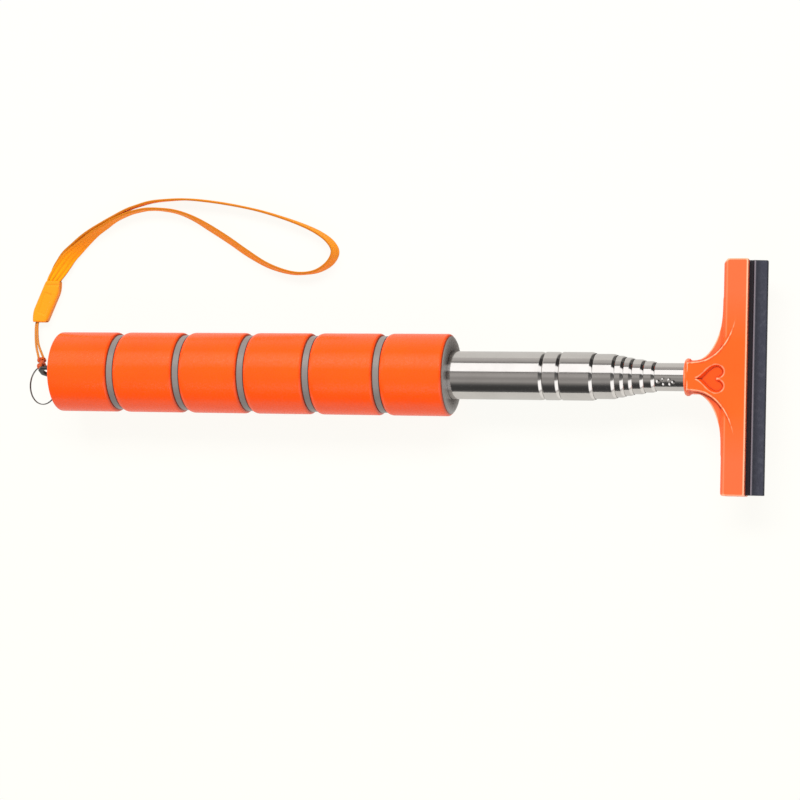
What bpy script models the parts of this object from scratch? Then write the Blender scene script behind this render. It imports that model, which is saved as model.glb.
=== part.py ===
"""Telescopic squeegee: a foam-gripped stainless pole of seven tubes, a T-shaped head with a rubber
blade, and a wrist strap on a split ring.

The tool lies flat. +X runs along the pole from tail to head, +Y along the head, +Z up.
The origin is the flat end of the tail lug, on the pole's axis. Lengths are in metres.
"""

import math

import bmesh
import bpy
import numpy as np
from mathutils import Matrix, Vector

MM = 0.001

# Whole tool, collapsed
LENGTH = 222.7 * MM  # from the lug's end to the blade's edge
TUBES = 7
TRAVEL = 127.5 * MM  # of each sliding tube; from grip to blade the tool grows from 215 to 980 mm

# Foam grip
GRIP_RADIUS = 12.05 * MM
GRIP_REAR = 7.7 * MM
# The blocks are cut by hand, so their lengths are not quite even
BLOCK_FRONTS = [26.6 * MM, 47.7 * MM, 68.1 * MM, 88.4 * MM, 110.0 * MM, 130.9 * MM]
BLOCK_EDGE = 0.9 * MM  # rounding of a block's front edge
REAR_EDGE = 0.45 * MM  # rounding of the grip's rear end
BLOCK_SHOULDER = 1.8 * MM  # rounding of a block's rear edge, along the pole
BLOCK_SHOULDER_DROP = 1.1 * MM
DISC_THICKNESS = 2.0 * MM
DISC_RADIUS = 11.3 * MM
END_DISC_THICKNESS = 0.4 * MM
END_DISC_FACE_RADIUS = 10.6 * MM
FOAM_GAP = 0.08 * MM
FOAM_BORE_GAP = 0.15 * MM

# Telescopic tubes
TUBE_RADIUS = 7.0 * MM  # of the outermost
RADIUS_STEP = 0.5 * MM
WALL = 0.25 * MM
MOUTHS = [174.0 * MM, 180.3 * MM, 182.8 * MM, 185.2 * MM, 188.4 * MM, 191.5 * MM, 203.4 * MM]
FIRST_TUBE_REAR = 10.8 * MM
BEADS = [159.3 * MM, 164.2 * MM]  # stops rolled into the outermost tube
BEAD_HALF_WIDTH = 0.7 * MM
BEAD_DEPTH = 0.16 * MM
CURL_LENGTH = 1.0 * MM
CURL_GAP = 0.09 * MM
CURL_DROP = 0.16 * MM
FLARE = 0.14 * MM
FLARE_LENGTH = 0.9 * MM
RIDGE = 0.12 * MM
SEGMENTS = 32  # round the pole and the head
GRIP_SEGMENTS = 24

# Friction sleeve on the tail of each sliding tube
SLEEVE_LENGTH = 10.0 * MM
SLEEVE_GAP = 0.06 * MM  # to the tube inside it and to the one outside
SLEEVE_END_GAP = 0.3 * MM
STOP_GAP = 0.3 * MM

# Tail plug and its slotted lug
PLUG_FACE = 8.7 * MM
PLUG_END = 13.2 * MM
PLUG_CHAMFER = 0.4 * MM
PLUG_FIT = 0.1 * MM
LUG_HALF_THICKNESS = 0.5 * MM
LUG_HALF_HEIGHT = 2.6 * MM
LUG_CORNER = 1.3 * MM
LUG_ROLL = math.radians(25)  # about the pole, from standing on edge
SLOT_REAR = 1.4 * MM
SLOT_FRONT = 6.8 * MM
SLOT_HALF_HEIGHT = 1.6 * MM

# Head
HEAD_REAR = 199.9 * MM
HEAD_HALF_LENGTH = 33.5 * MM
BLADE_HALF_LENGTH = 33.2 * MM
BAR_REAR = 210.7 * MM
BAR_FRONT = 217.6 * MM
BAR_HALF_HEIGHT = 4.2 * MM
BAR_CHAMFER = 0.8 * MM
WEB_HALF_HEIGHT = 2.8 * MM
NECK_X = 202.8 * MM
NECK_RADIUS = 4.9 * MM
COLLAR_RADIUS = 5.4 * MM
FLARE_HALF_WIDTH = 22.0 * MM
FAN_REAR = 201.9 * MM
FAN_FRONT = 215.8 * MM
FAN_REAR_HALF_HEIGHT = 5.3 * MM
FAN_REAR_HALF_WIDTH = 4.2 * MM
FAN_HALF_WIDTH = 30.0 * MM
SOCKET_END = 203.6 * MM
SOCKET_GAP = 0.15 * MM
STUD_REAR = 191.8 * MM
STUD_RADIUS = 2.3 * MM
STUD_END = 209.2 * MM
HEART_TIP = 203.3 * MM
HEART_LENGTH = 8.3 * MM
HEART_HALF_WIDTH = 4.1 * MM
HEART_Y = -0.6 * MM

# Rubber blade and the channel that holds its foot
CHANNEL_REAR = 213.9 * MM
CHANNEL_STEP = 216.2 * MM
CHANNEL_HALF_HEIGHT = 2.5 * MM
MOUTH_HALF_HEIGHT = 1.5 * MM
RUBBER_GAP = 0.12 * MM
BLADE_EDGE_HALF = 0.7 * MM
LIP_FROM_BAR = 1.2 * MM  # rib that runs along the blade just outside the channel
LIP_WIDTH = 0.8 * MM
LIP_RISE = 0.4 * MM

# Split ring, cord, clip and strap
RING_X = 4.7 * MM  # where the ring passes through the lug's slot
RING_RADIUS = 6.2 * MM
RING_WIRE_RADIUS = 0.3 * MM
RING_DROOP = math.radians(22)
RING_SIDE = -4.1 * MM  # the ring's centre from the slot, along the head
HITCH_GAP = 0.2 * MM
HITCH_THICKNESS = 0.6 * MM
HITCH_HALF_LENGTH = 0.9 * MM
HITCH_TURN = math.radians(12)  # round the ring from its far end along the head
KNOT = Vector((-1.3, 3.5, -3.9)) * MM
KNOT_RADIUS = 1.05 * MM
CORD_RADIUS = 0.65 * MM
CLIP_LENGTH = 13.34 * MM
CLIP_WIDTH = 5.9 * MM
CLIP_THICKNESS = 3.2 * MM
CLIP_CORNER = 1.5 * MM
CLIP_REAR = Vector((-5.0, 16.07, -10.4)) * MM
CLIP_FRONT = Vector((-1.07, 28.82, -10.4)) * MM
POCKET_HALF_WIDTH = 2.45 * MM
POCKET_HALF_HEIGHT = 1.1 * MM
STRAP_WIDTH = 4.6 * MM
STRAP_THICKNESS = 0.65 * MM


def radius_of(tube):
    """Outer radius of a tube, numbered from 1 at the outside."""
    return TUBE_RADIUS - (tube - 1) * RADIUS_STEP


def stop_of(tube):
    """Where the stop inside a tube begins: its first bead on the outermost, its curled mouth on the rest."""
    if tube == 1:
        return BEADS[0] - BEAD_HALF_WIDTH
    return MOUTHS[tube - 1] - CURL_LENGTH


def tail_of(tube):
    """Tail of a tube at rest: a sliding tube's ridge meets the stop of the tube outside it at full travel."""
    if tube == 1:
        return FIRST_TUBE_REAR
    tail_fittings = FLARE_LENGTH + SLEEVE_LENGTH + 2 * SLEEVE_END_GAP + 2 * FLARE_LENGTH
    return stop_of(tube - 1) - STOP_GAP - TRAVEL - tail_fittings


# Materials


def material(name, colour, roughness, metallic=0.0):
    found = bpy.data.materials.get(name)
    if found:
        return found
    made = bpy.data.materials.new(name)
    made.use_nodes = True
    shader = made.node_tree.nodes["Principled BSDF"]
    shader.inputs["Base Color"].default_value = (*colour, 1.0)
    shader.inputs["Roughness"].default_value = roughness
    shader.inputs["Metallic"].default_value = metallic
    return made


def orange_foam():
    return material("orange_foam", (0.98, 0.14, 0.02), 0.7)


def grey_foam():
    return material("grey_foam", (0.28, 0.23, 0.20), 0.8)


def stainless():
    return material("stainless", (0.62, 0.60, 0.59), 0.15, 1.0)


def brass():
    return material("brass", (0.72, 0.50, 0.20), 0.35, 1.0)


def orange_plastic():
    return material("orange_plastic", (0.97, 0.15, 0.03), 0.35)


def slate_rubber():
    return material("slate_rubber", (0.055, 0.055, 0.08), 0.6)


def orange_nylon():
    return material("orange_nylon", (0.90, 0.28, 0.03), 0.7)


def yellow_plastic():
    return material("yellow_plastic", (0.97, 0.42, 0.02), 0.4)


def tan_cord():
    return material("tan_cord", (0.60, 0.22, 0.04), 0.8)


# Building blocks


def added(name, mesh_data, finish, sharp_degrees=35.0):
    """Turns a bmesh into an object whose faces point outwards, shaded smooth but for its sharp edges."""
    bmesh.ops.recalc_face_normals(mesh_data, faces=mesh_data.faces)
    mesh = bpy.data.meshes.new(name)
    mesh_data.to_mesh(mesh)
    mesh_data.free()
    mesh.shade_smooth()
    mesh.set_sharp_from_angle(angle=math.radians(sharp_degrees))
    piece = bpy.data.objects.new(name, mesh)
    piece.data.materials.append(finish)
    bpy.context.scene.collection.objects.link(piece)
    return piece


def turned(name, outline, finish, segments=SEGMENTS, left_out=0):
    """Spins a closed outline of (x, radius) points about the X axis; left_out segments make a slit."""
    shape = bmesh.new()
    points = [shape.verts.new((x, 0.0, radius)) for x, radius in outline]
    sides = [shape.edges.new((a, b)) for a, b in zip(points, points[1:] + points[:1])]
    turned_segments = segments - left_out
    bmesh.ops.spin(
        shape,
        geom=points + sides,
        cent=(0, 0, 0),
        axis=(1, 0, 0),
        angle=2 * math.pi * turned_segments / segments,
        steps=turned_segments,
        use_merge=left_out == 0,
    )
    bmesh.ops.remove_doubles(shape, verts=shape.verts, dist=1e-7)
    on_axis = [edge for edge in shape.edges if not edge.link_faces]
    bmesh.ops.delete(shape, geom=on_axis, context="EDGES")
    if left_out:
        bmesh.ops.holes_fill(shape, edges=shape.edges, sides=len(outline))
    return added(name, shape, finish)


def extruded(name, outline, thickness, finish, sharp_degrees=35.0):
    """Fills a closed outline of 3-D points and extrudes it along the thickness vector."""
    shape = bmesh.new()
    face = shape.faces.new([shape.verts.new(point) for point in outline])
    grown = bmesh.ops.extrude_face_region(shape, geom=[face], use_keep_orig=True)
    moved = [item for item in grown["geom"] if isinstance(item, bmesh.types.BMVert)]
    bmesh.ops.translate(shape, verts=moved, vec=thickness)
    return added(name, shape, finish, sharp_degrees)


def box(name, low, high, finish):
    corners = [(low[0], low[1]), (high[0], low[1]), (high[0], high[1]), (low[0], high[1])]
    outline = [(x, y, low[2]) for x, y in corners]
    return extruded(name, outline, (0, 0, high[2] - low[2]), finish)


def helper(piece):
    """Keeps a cutter or a shape that another piece takes in out of the finished object."""
    piece.hide_render = True
    piece.display_type = "WIRE"
    return piece


def combine(piece, other, operation):
    helper(other)
    step = piece.modifiers.new(f"{operation.lower()}_{other.name}", "BOOLEAN")
    step.operation = operation
    step.object = other


def joint_axis(name, place, parent=None):
    """An empty on a joint's axis, which carries the pieces that the joint moves."""
    pivot = bpy.data.objects.new(name, None)
    pivot.empty_display_size = 0.01
    pivot.location = place if parent is None else Vector(place) - parent.matrix_world.translation
    pivot.parent = parent
    bpy.context.scene.collection.objects.link(pivot)
    bpy.context.view_layer.update()
    return pivot


def carry(pivot, *pieces):
    for piece in pieces:
        piece.parent = pivot
        piece.matrix_parent_inverse = pivot.matrix_world.inverted()


def smooth_path(points, per_span):
    """Catmull-Rom curve through points of any dimension, as an array."""
    points = np.array([points[0]] + list(points) + [points[-1]], float)
    found = []
    for before, start, end, after in zip(points, points[1:], points[2:], points[3:]):
        for t in np.arange(per_span) / per_span:
            found.append(
                0.5
                * (
                    2 * start
                    + (end - before) * t
                    + (2 * before - 5 * start + 4 * end - after) * t**2
                    + (3 * start - before - 3 * end + after) * t**3
                )
            )
    found.append(points[-1])
    return np.array(found)


def swept(name, sections, finish):
    """Joins closed sections of points along a path, and caps both ends."""
    shape = bmesh.new()
    rings = [[shape.verts.new(point) for point in section] for section in sections]
    for ring, following in zip(rings, rings[1:]):
        for i in range(len(ring)):
            j = (i + 1) % len(ring)
            shape.faces.new((ring[i], ring[j], following[j], following[i]))
    shape.faces.new(rings[0][::-1])
    shape.faces.new(rings[-1])
    return added(name, shape, finish)


# Grip


def rounded_corner(x, radius, along, drop, steps):
    """Quarter ellipse from (x, radius - drop) up to (x + along, radius)."""
    found = []
    for i in range(steps + 1):
        turn = math.pi / 2 * i / steps
        found.append((x + along * (1 - math.cos(turn)), radius - drop * (1 - math.sin(turn))))
    return found


def foam_block(number, rear, front):
    bore = TUBE_RADIUS + FOAM_BORE_GAP
    if number == 1:
        shoulder = rounded_corner(rear, GRIP_RADIUS, REAR_EDGE, REAR_EDGE, 2)
    else:
        shoulder = rounded_corner(rear, GRIP_RADIUS, BLOCK_SHOULDER, BLOCK_SHOULDER_DROP, 4)
    edge = rounded_corner(front, GRIP_RADIUS, -BLOCK_EDGE, BLOCK_EDGE, 2)
    outline = [(rear, bore)] + shoulder + edge[::-1] + [(front, bore)]
    return turned(f"grip_block_{number}", outline, orange_foam(), GRIP_SEGMENTS)


def foam_disc(number, rear):
    bore = TUBE_RADIUS + FOAM_BORE_GAP
    front = rear + DISC_THICKNESS - FOAM_GAP
    outline = [(rear, bore), (rear, DISC_RADIUS), (front, DISC_RADIUS), (front, bore)]
    if number == len(BLOCK_FRONTS):
        front = rear + END_DISC_THICKNESS
        rim = GRIP_RADIUS - BLOCK_EDGE + 0.2 * MM
        bevelled = [(rear, rim), (rear + 0.2 * MM, rim - 0.2 * MM), (front, END_DISC_FACE_RADIUS)]
        outline = [(rear, bore)] + bevelled + [(front, bore)]
    return turned(f"grip_disc_{number}", outline, grey_foam(), GRIP_SEGMENTS)


def grip():
    rear = GRIP_REAR
    for number, front in enumerate(BLOCK_FRONTS, start=1):
        foam_block(number, rear, front)
        foam_disc(number, front + FOAM_GAP)
        rear = front + DISC_THICKNESS + FOAM_GAP


# Pole


def beaded(level):
    """Bead bottoms on one side of the wall, from tail to mouth."""
    points = []
    for bead in BEADS:
        points += [
            (bead - BEAD_HALF_WIDTH, level),
            (bead, level - BEAD_DEPTH),
            (bead + BEAD_HALF_WIDTH, level),
        ]
    return points


def tube(number):
    """One drawn tube: flared tail, ridge in front of the sleeve's seat, and a mouth curled in on the next."""
    radius = radius_of(number)
    bore = radius - WALL
    tail, mouth = tail_of(number), MOUTHS[number - 1]
    if number > 1:
        ridge = tail + 2 * FLARE_LENGTH + SLEEVE_LENGTH + 2 * SLEEVE_END_GAP
        outside = [
            (tail, radius + FLARE),
            (tail + FLARE_LENGTH, radius),
            (ridge - FLARE_LENGTH, radius),
            (ridge - FLARE_LENGTH / 2, radius + RIDGE),
            (ridge, radius),
        ]
        inside = [(tail, bore)]
    else:
        outside = [(tail, radius)] + beaded(radius)
        inside = [(tail, bore)] + beaded(bore)
    if number < TUBES:
        curl = radius_of(number + 1) + CURL_GAP
        outside += [(mouth - CURL_LENGTH / 2, radius), (mouth, radius - CURL_DROP)]
        inside += [(mouth - CURL_LENGTH, bore), (mouth - CURL_LENGTH / 2, curl), (mouth, curl)]
    else:
        outside += [(mouth, radius)]
        inside += [(mouth, bore)]
    return turned(f"tube_{number}", outside + inside[::-1], stainless())


def friction_sleeve(number):
    """Split spring collar on the tail of a sliding tube."""
    radius = radius_of(number)
    rear = tail_of(number) + FLARE_LENGTH + SLEEVE_END_GAP
    front = rear + SLEEVE_LENGTH
    inner = radius + SLEEVE_GAP
    outer = radius + RADIUS_STEP - WALL - SLEEVE_GAP
    outline = [(rear, inner), (rear, outer), (front, outer), (front, inner)]
    return turned(f"friction_sleeve_{number}", outline, brass(), left_out=1)


def stadium(rear, front, half_height, steps=6):
    """Closed outline of (x, z) points with round ends."""
    found = []
    for centre, start in ((rear + half_height, math.pi / 2), (front - half_height, -math.pi / 2)):
        for i in range(steps + 1):
            turn = start + math.pi * i / steps
            found.append((centre + half_height * math.cos(turn), half_height * math.sin(turn)))
    return found


def tail_plug():
    """Cap in the rear of the outermost tube, with a flat lug slotted for the split ring."""
    spigot = TUBE_RADIUS - WALL - PLUG_FIT
    seat = FIRST_TUBE_REAR - PLUG_FIT
    outline = [
        (PLUG_FACE, 0.0),
        (PLUG_FACE, TUBE_RADIUS - PLUG_CHAMFER),
        (PLUG_FACE + PLUG_CHAMFER, TUBE_RADIUS),
        (seat, TUBE_RADIUS),
        (seat, spigot),
        (PLUG_END, spigot),
        (PLUG_END, 0.0),
    ]
    plug = turned("tail_plug", outline, stainless())
    root = PLUG_FACE + PLUG_CHAMFER
    side = [
        (root, -LUG_HALF_HEIGHT),
        (LUG_CORNER, -LUG_HALF_HEIGHT),
        (0.0, LUG_CORNER - LUG_HALF_HEIGHT),
        (0.0, LUG_HALF_HEIGHT - LUG_CORNER),
        (LUG_CORNER, LUG_HALF_HEIGHT),
        (root, LUG_HALF_HEIGHT),
    ]
    lug = extruded(
        "lug",
        [(x, -LUG_HALF_THICKNESS, z) for x, z in side],
        (0, 2 * LUG_HALF_THICKNESS, 0),
        stainless(),
    )
    slot = extruded(
        "lug_slot",
        [(x, -LUG_HALF_HEIGHT, z) for x, z in stadium(SLOT_REAR, SLOT_FRONT, SLOT_HALF_HEIGHT)],
        (0, 2 * LUG_HALF_HEIGHT, 0),
        stainless(),
    )
    for flat in (lug, slot):
        flat.matrix_world = Matrix.Rotation(-LUG_ROLL, 4, "X")
    combine(plug, lug, "UNION")
    combine(plug, slot, "DIFFERENCE")
    return plug


# Head


def mirrored_outline(half, z):
    """Closes a half outline of (x, y) points with its mirror image in the XZ plane."""
    return [(x, y, z) for x, y in half] + [(x, -y, z) for x, y in reversed(half)]


def quarter_flare(rear, front, inner, outer, steps):
    """Concave elliptical curve from (rear, inner) out to (front, outer), tangent to the bar at its end."""
    found = []
    for i in range(steps + 1):
        turn = math.pi / 2 * i / steps
        found.append((rear + (front - rear) * math.sin(turn), outer - (outer - inner) * math.cos(turn)))
    return found


def mirrored_section(upper, y):
    """Closes a half section of (x, z) points with its mirror image in the XY plane."""
    return [(x, y, z) for x, z in upper] + [(x, y, -z) for x, z in reversed(upper)]


def head_bar():
    z, chamfer = BAR_HALF_HEIGHT, BAR_CHAMFER
    upper = [
        (BAR_FRONT, z - chamfer / 2),
        (BAR_FRONT - chamfer / 2, z),
        (BAR_REAR + chamfer, z),
        (BAR_REAR, z - chamfer),
    ]
    outline = mirrored_section(upper, -HEAD_HALF_LENGTH)
    return extruded("head_body", outline, (0, 2 * HEAD_HALF_LENGTH, 0), orange_plastic())


def channel_cutter():
    """T-shaped channel that runs the head's whole length and opens at its front."""
    half_length = HEAD_HALF_LENGTH + 2 * MM
    upper = [
        (CHANNEL_REAR, CHANNEL_HALF_HEIGHT),
        (CHANNEL_STEP, CHANNEL_HALF_HEIGHT),
        (CHANNEL_STEP, MOUTH_HALF_HEIGHT),
        (BAR_FRONT + 2 * MM, MOUTH_HALF_HEIGHT),
    ]
    outline = mirrored_section(upper, -half_length)
    return extruded("blade_channel", outline, (0, 2 * half_length, 0), orange_plastic())


def head_web():
    half = [(NECK_X - 0.5 * MM, NECK_RADIUS - 0.3 * MM)]
    half += quarter_flare(NECK_X, BAR_REAR + 0.2 * MM, NECK_RADIUS - 0.2 * MM, FLARE_HALF_WIDTH, 8)
    half.append((BAR_REAR + 2 * MM, FLARE_HALF_WIDTH))
    outline = mirrored_outline(half, -WEB_HALF_HEIGHT)
    return extruded("head_web", outline, (0, 0, 2 * WEB_HALF_HEIGHT), orange_plastic())


def head_fan():
    """Raised centre of the head, which slopes down to the bar's face."""
    half = [(FAN_REAR, FAN_REAR_HALF_WIDTH)]
    half += quarter_flare(NECK_X, FAN_FRONT - 1.5 * MM, NECK_RADIUS - 0.4 * MM, FLARE_HALF_WIDTH - 1 * MM, 8)
    half.append((FAN_FRONT, FAN_HALF_WIDTH))
    fan = extruded("head_fan", mirrored_outline(half, -1.0), (0, 0, 2.0), orange_plastic())
    slope = (BAR_HALF_HEIGHT - FAN_REAR_HALF_HEIGHT) / (FAN_FRONT - FAN_REAR)
    for vertex in fan.data.vertices:
        height = FAN_REAR_HALF_HEIGHT + slope * (vertex.co.x - FAN_REAR) - 0.02 * MM
        vertex.co.z = math.copysign(height, vertex.co.z)
    return fan


def head_barrel():
    outline = [
        (HEAD_REAR, 0.0),
        (HEAD_REAR, COLLAR_RADIUS - 0.4 * MM),
        (HEAD_REAR + 0.4 * MM, COLLAR_RADIUS),
        (HEAD_REAR + 1.1 * MM, COLLAR_RADIUS),
        (HEAD_REAR + 1.6 * MM, COLLAR_RADIUS - 0.4 * MM),
        (NECK_X, NECK_RADIUS),
        (NECK_X + 3.0 * MM, 4.5 * MM),
        (NECK_X + 3.0 * MM, 0.0),
    ]
    return turned("head_barrel", outline, orange_plastic())


def heart_outline(steps=28):
    """Plain heart with its tip towards the tail."""
    found = []
    for i in range(steps):
        t = 2 * math.pi * i / steps
        across = 16 * math.sin(t) ** 3
        along = 13 * math.cos(t) - 5 * math.cos(2 * t) - 2 * math.cos(3 * t) - math.cos(4 * t)
        x = HEART_TIP + (along + 17) / 29 * HEART_LENGTH
        found.append((x, HEART_Y + across / 16 * HEART_HALF_WIDTH))
    return found


def heart_cutter(side):
    floor = side * (BAR_HALF_HEIGHT - 0.2 * MM)
    name = "heart_upper" if side > 0 else "heart_lower"
    outline = [(x, y, floor) for x, y in heart_outline()]
    return extruded(name, outline, (0, 0, side * 3 * MM), orange_plastic())


def head():
    body = head_bar()
    for part in (head_web(), head_fan(), head_barrel()):
        combine(body, part, "UNION")
    for side in (1, -1):
        combine(body, heart_cutter(side), "DIFFERENCE")
    socket_radius = radius_of(TUBES) + SOCKET_GAP
    socket = [(HEAD_REAR - 1 * MM, 0.0), (HEAD_REAR - 1 * MM, socket_radius), (SOCKET_END, socket_radius)]
    bore = [(SOCKET_END, STUD_RADIUS + SOCKET_GAP), (STUD_END + 0.3 * MM, STUD_RADIUS + SOCKET_GAP)]
    drill = turned("socket_drill", socket + bore + [(STUD_END + 0.3 * MM, 0.0)], orange_plastic())
    combine(body, drill, "DIFFERENCE")
    combine(body, channel_cutter(), "DIFFERENCE")
    return body


def head_stud():
    """Plug crimped in the last tube, whose nose fills the head's blind bore."""
    radius = radius_of(TUBES) - WALL - PLUG_FIT
    shoulder = SOCKET_END - 0.3 * MM
    outline = [
        (STUD_REAR, 0.0),
        (STUD_REAR, radius - PLUG_CHAMFER),
        (STUD_REAR + PLUG_CHAMFER, radius),
        (shoulder, radius),
        (shoulder, STUD_RADIUS),
        (STUD_END, STUD_RADIUS),
        (STUD_END, 0.0),
    ]
    return turned("head_stud", outline, stainless(), segments=24)


def rubber_blade():
    foot, mouth = CHANNEL_HALF_HEIGHT - RUBBER_GAP, MOUTH_HALF_HEIGHT - RUBBER_GAP
    lip = BAR_FRONT + LIP_FROM_BAR
    upper = [
        (CHANNEL_REAR + RUBBER_GAP, foot),
        (CHANNEL_STEP - RUBBER_GAP, foot),
        (CHANNEL_STEP - RUBBER_GAP, mouth),
        (lip, mouth),
        (lip + LIP_WIDTH / 4, mouth + LIP_RISE),
        (lip + LIP_WIDTH * 3 / 4, mouth + LIP_RISE),
        (lip + LIP_WIDTH, mouth + LIP_RISE / 3),
        (LENGTH, BLADE_EDGE_HALF),
    ]
    outline = mirrored_section(upper, -BLADE_HALF_LENGTH)
    return extruded("rubber_blade", outline, (0, 2 * BLADE_HALF_LENGTH, 0), slate_rubber())


# Lanyard


def ring_centre():
    """The ring droops behind the tail, in a plane that holds the direction along the head."""
    down = Vector((-math.cos(RING_DROOP), 0, -math.sin(RING_DROOP)))
    drop = math.sqrt(RING_RADIUS**2 - RING_SIDE**2)
    return Vector((RING_X, RING_SIDE, 0)) + drop * down


def split_ring():
    steps = 6
    section = []
    for i in range(steps):
        turn = 2 * math.pi * i / steps
        section.append((RING_WIRE_RADIUS * math.sin(turn), RING_RADIUS + RING_WIRE_RADIUS * math.cos(turn)))
    ring = turned("split_ring", section, stainless())
    tilt = Matrix.Rotation(math.pi / 2 - RING_DROOP, 4, "Y")
    ring.matrix_world = Matrix.Translation(ring_centre()) @ tilt
    return ring


def cord_hitch():
    """Loop of the cord round the ring, near the ring's far end along the head."""
    inner, half = RING_WIRE_RADIUS + HITCH_GAP, HITCH_HALF_LENGTH
    outer = inner + HITCH_THICKNESS
    outline = [(-half, inner), (-half, outer), (half, outer), (half, inner)]
    hitch = turned("cord_hitch", outline, tan_cord(), segments=16)
    turn = Matrix.Rotation(-RING_DROOP, 4, "Y") @ Matrix.Rotation(HITCH_TURN, 4, "Z")
    place = ring_centre() + turn @ Vector((0, RING_RADIUS, 0))
    hitch.matrix_world = Matrix.Translation(place) @ turn
    return hitch


def cord_knot():
    shape = bmesh.new()
    bmesh.ops.create_uvsphere(shape, u_segments=14, v_segments=9, radius=KNOT_RADIUS)
    bmesh.ops.translate(shape, verts=shape.verts, vec=KNOT)
    return added("cord_knot", shape, tan_cord())


def cord_loop():
    stations = [
        (-1.8, 4.7, -4.2),
        (-4.2, 8.6, -6.6),
        (-5.8, 12.5, -9.2),
        (-6.2, 15.9, -10.35),
        (-4.9, 19.6, -10.4),
    ]
    path = smooth_path(stations, 3) * MM
    sides = 10
    sections = []
    for i, point in enumerate(path):
        ahead = Vector(path[min(i + 1, len(path) - 1)] - path[max(i - 1, 0)]).normalized()
        across = ahead.cross(Vector((0, 0, 1))).normalized()
        up = across.cross(ahead)
        turns = [2 * math.pi * j / sides for j in range(sides)]
        sections.append(
            [Vector(point) + CORD_RADIUS * (math.cos(turn) * across + math.sin(turn) * up) for turn in turns]
        )
    return swept("cord_loop", sections, tan_cord())


def crimp_clip():
    """Flat crimped sleeve: the cord enters at its rear and the strap at its front."""
    half_length, half_width, half_height = CLIP_LENGTH / 2, CLIP_WIDTH / 2, CLIP_THICKNESS / 2
    cut = CLIP_CORNER
    outline = [
        (half_length, half_width - cut),
        (half_length - cut, half_width),
        (cut - half_length, half_width),
        (-half_length, half_width - cut),
    ]
    clip = extruded(
        "crimp_clip", mirrored_outline(outline, -half_height), (0, 0, 2 * half_height), yellow_plastic()
    )
    bevel = clip.modifiers.new("rounded", "BEVEL")
    bevel.width = 0.35 * MM
    bevel.segments = 2
    pocket = box(
        "clip_pocket",
        (-CLIP_LENGTH, -POCKET_HALF_WIDTH, -POCKET_HALF_HEIGHT),
        (CLIP_LENGTH, POCKET_HALF_WIDTH, POCKET_HALF_HEIGHT),
        yellow_plastic(),
    )
    along = CLIP_FRONT - CLIP_REAR
    turn = Matrix.Rotation(math.atan2(along.y, along.x), 4, "Z")
    place = Matrix.Translation((CLIP_FRONT + CLIP_REAR) / 2) @ turn
    clip.matrix_world = place
    pocket.matrix_world = place
    combine(clip, pocket, "DIFFERENCE")
    return clip


def wrist_strap():
    """Ribbon loop, gathered where it enters the clip.

    Each station holds x, y, z and the width in mm, and the roll in degrees: 0 flat, 90 on edge.
    """
    full = STRAP_WIDTH / MM
    stations = [
        (-1.8, 26.4, -10.95, 1.6, 0),
        (-1.1, 28.8, -10.95, 3.2, 0),
        (0.2, 31.8, -10.9, full, 10),
        (1.7, 34.3, -10.8, full, 25),
        (3.5, 36.8, -10.5, full, 41),
        (6.0, 39.3, -10.25, full, 57),
        (8.6, 41.8, -10.0, full, 70),
        (11.7, 44.2, -9.8, full, 80),
        (15.7, 46.8, -9.7, full, 90),
        (19.1, 48.8, -9.7, full, 95),
        (23.4, 51.0, -9.65, full, 98),
        (27.4, 52.3, -9.6, full, 97),
        (30.9, 53.2, -9.6, full, 96),
        (35.3, 53.7, -9.6, full, 96),
        (43.2, 53.9, -9.6, full, 97),
        (53.7, 52.7, -9.6, full, 96),
        (64.2, 50.7, -9.6, full, 94),
        (72.0, 48.6, -9.6, full, 94),
        (79.7, 46.0, -9.6, full, 96),
        (85.5, 43.4, -9.6, full, 99),
        (89.4, 40.6, -9.6, full, 102),
        (91.1, 37.5, -9.6, full, 102),
        (89.6, 34.2, -9.6, full, 97),
        (85.9, 31.8, -9.6, full, 89),
        (81.4, 31.0, -9.6, full, 88),
        (76.3, 31.4, -9.6, full, 96),
        (69.8, 33.5, -9.6, full, 105),
        (63.3, 37.1, -9.65, full, 113),
        (56.7, 41.4, -9.65, full, 114),
        (50.0, 45.4, -9.6, full, 112),
        (44.7, 48.2, -9.6, full, 104),
        (39.4, 50.1, -9.6, full, 96),
        (34.1, 50.9, -9.6, full, 90),
        (30.1, 51.0, -9.6, full, 88),
        (26.8, 50.5, -9.6, full, 87),
        (23.4, 49.6, -9.55, full, 87),
        (19.2, 47.8, -9.5, full, 89),
        (16.1, 45.8, -9.4, full, 94),
        (12.8, 43.7, -9.35, full, 102),
        (9.7, 41.1, -9.4, full, 111),
        (7.0, 38.7, -9.5, full, 124),
        (4.5, 36.4, -9.55, full, 139),
        (2.6, 34.0, -9.75, full, 155),
        (0.8, 31.6, -9.85, full, 170),
        (-1.1, 28.8, -9.85, 3.2, 180),
        (-1.8, 26.4, -9.85, 1.6, 180),
    ]
    path = smooth_path(stations, 2)
    sections = []
    for i, (x, y, z, width, roll) in enumerate(path):
        ahead = Vector((path[min(i + 1, len(path) - 1)] - path[max(i - 1, 0)])[:3]).normalized()
        left = Vector((0, 0, 1)).cross(ahead).normalized()
        up = ahead.cross(left)
        across = math.cos(math.radians(roll)) * left + math.sin(math.radians(roll)) * up
        centre = Vector((x, y, z)) * MM
        half_width = across * width * MM / 2
        half_thick = ahead.cross(across) * STRAP_THICKNESS / 2
        sections.append(
            [
                centre + half_width + half_thick,
                centre - half_width + half_thick,
                centre - half_width - half_thick,
                centre + half_width - half_thick,
            ]
        )
    return swept("wrist_strap", sections, orange_nylon())


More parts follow.
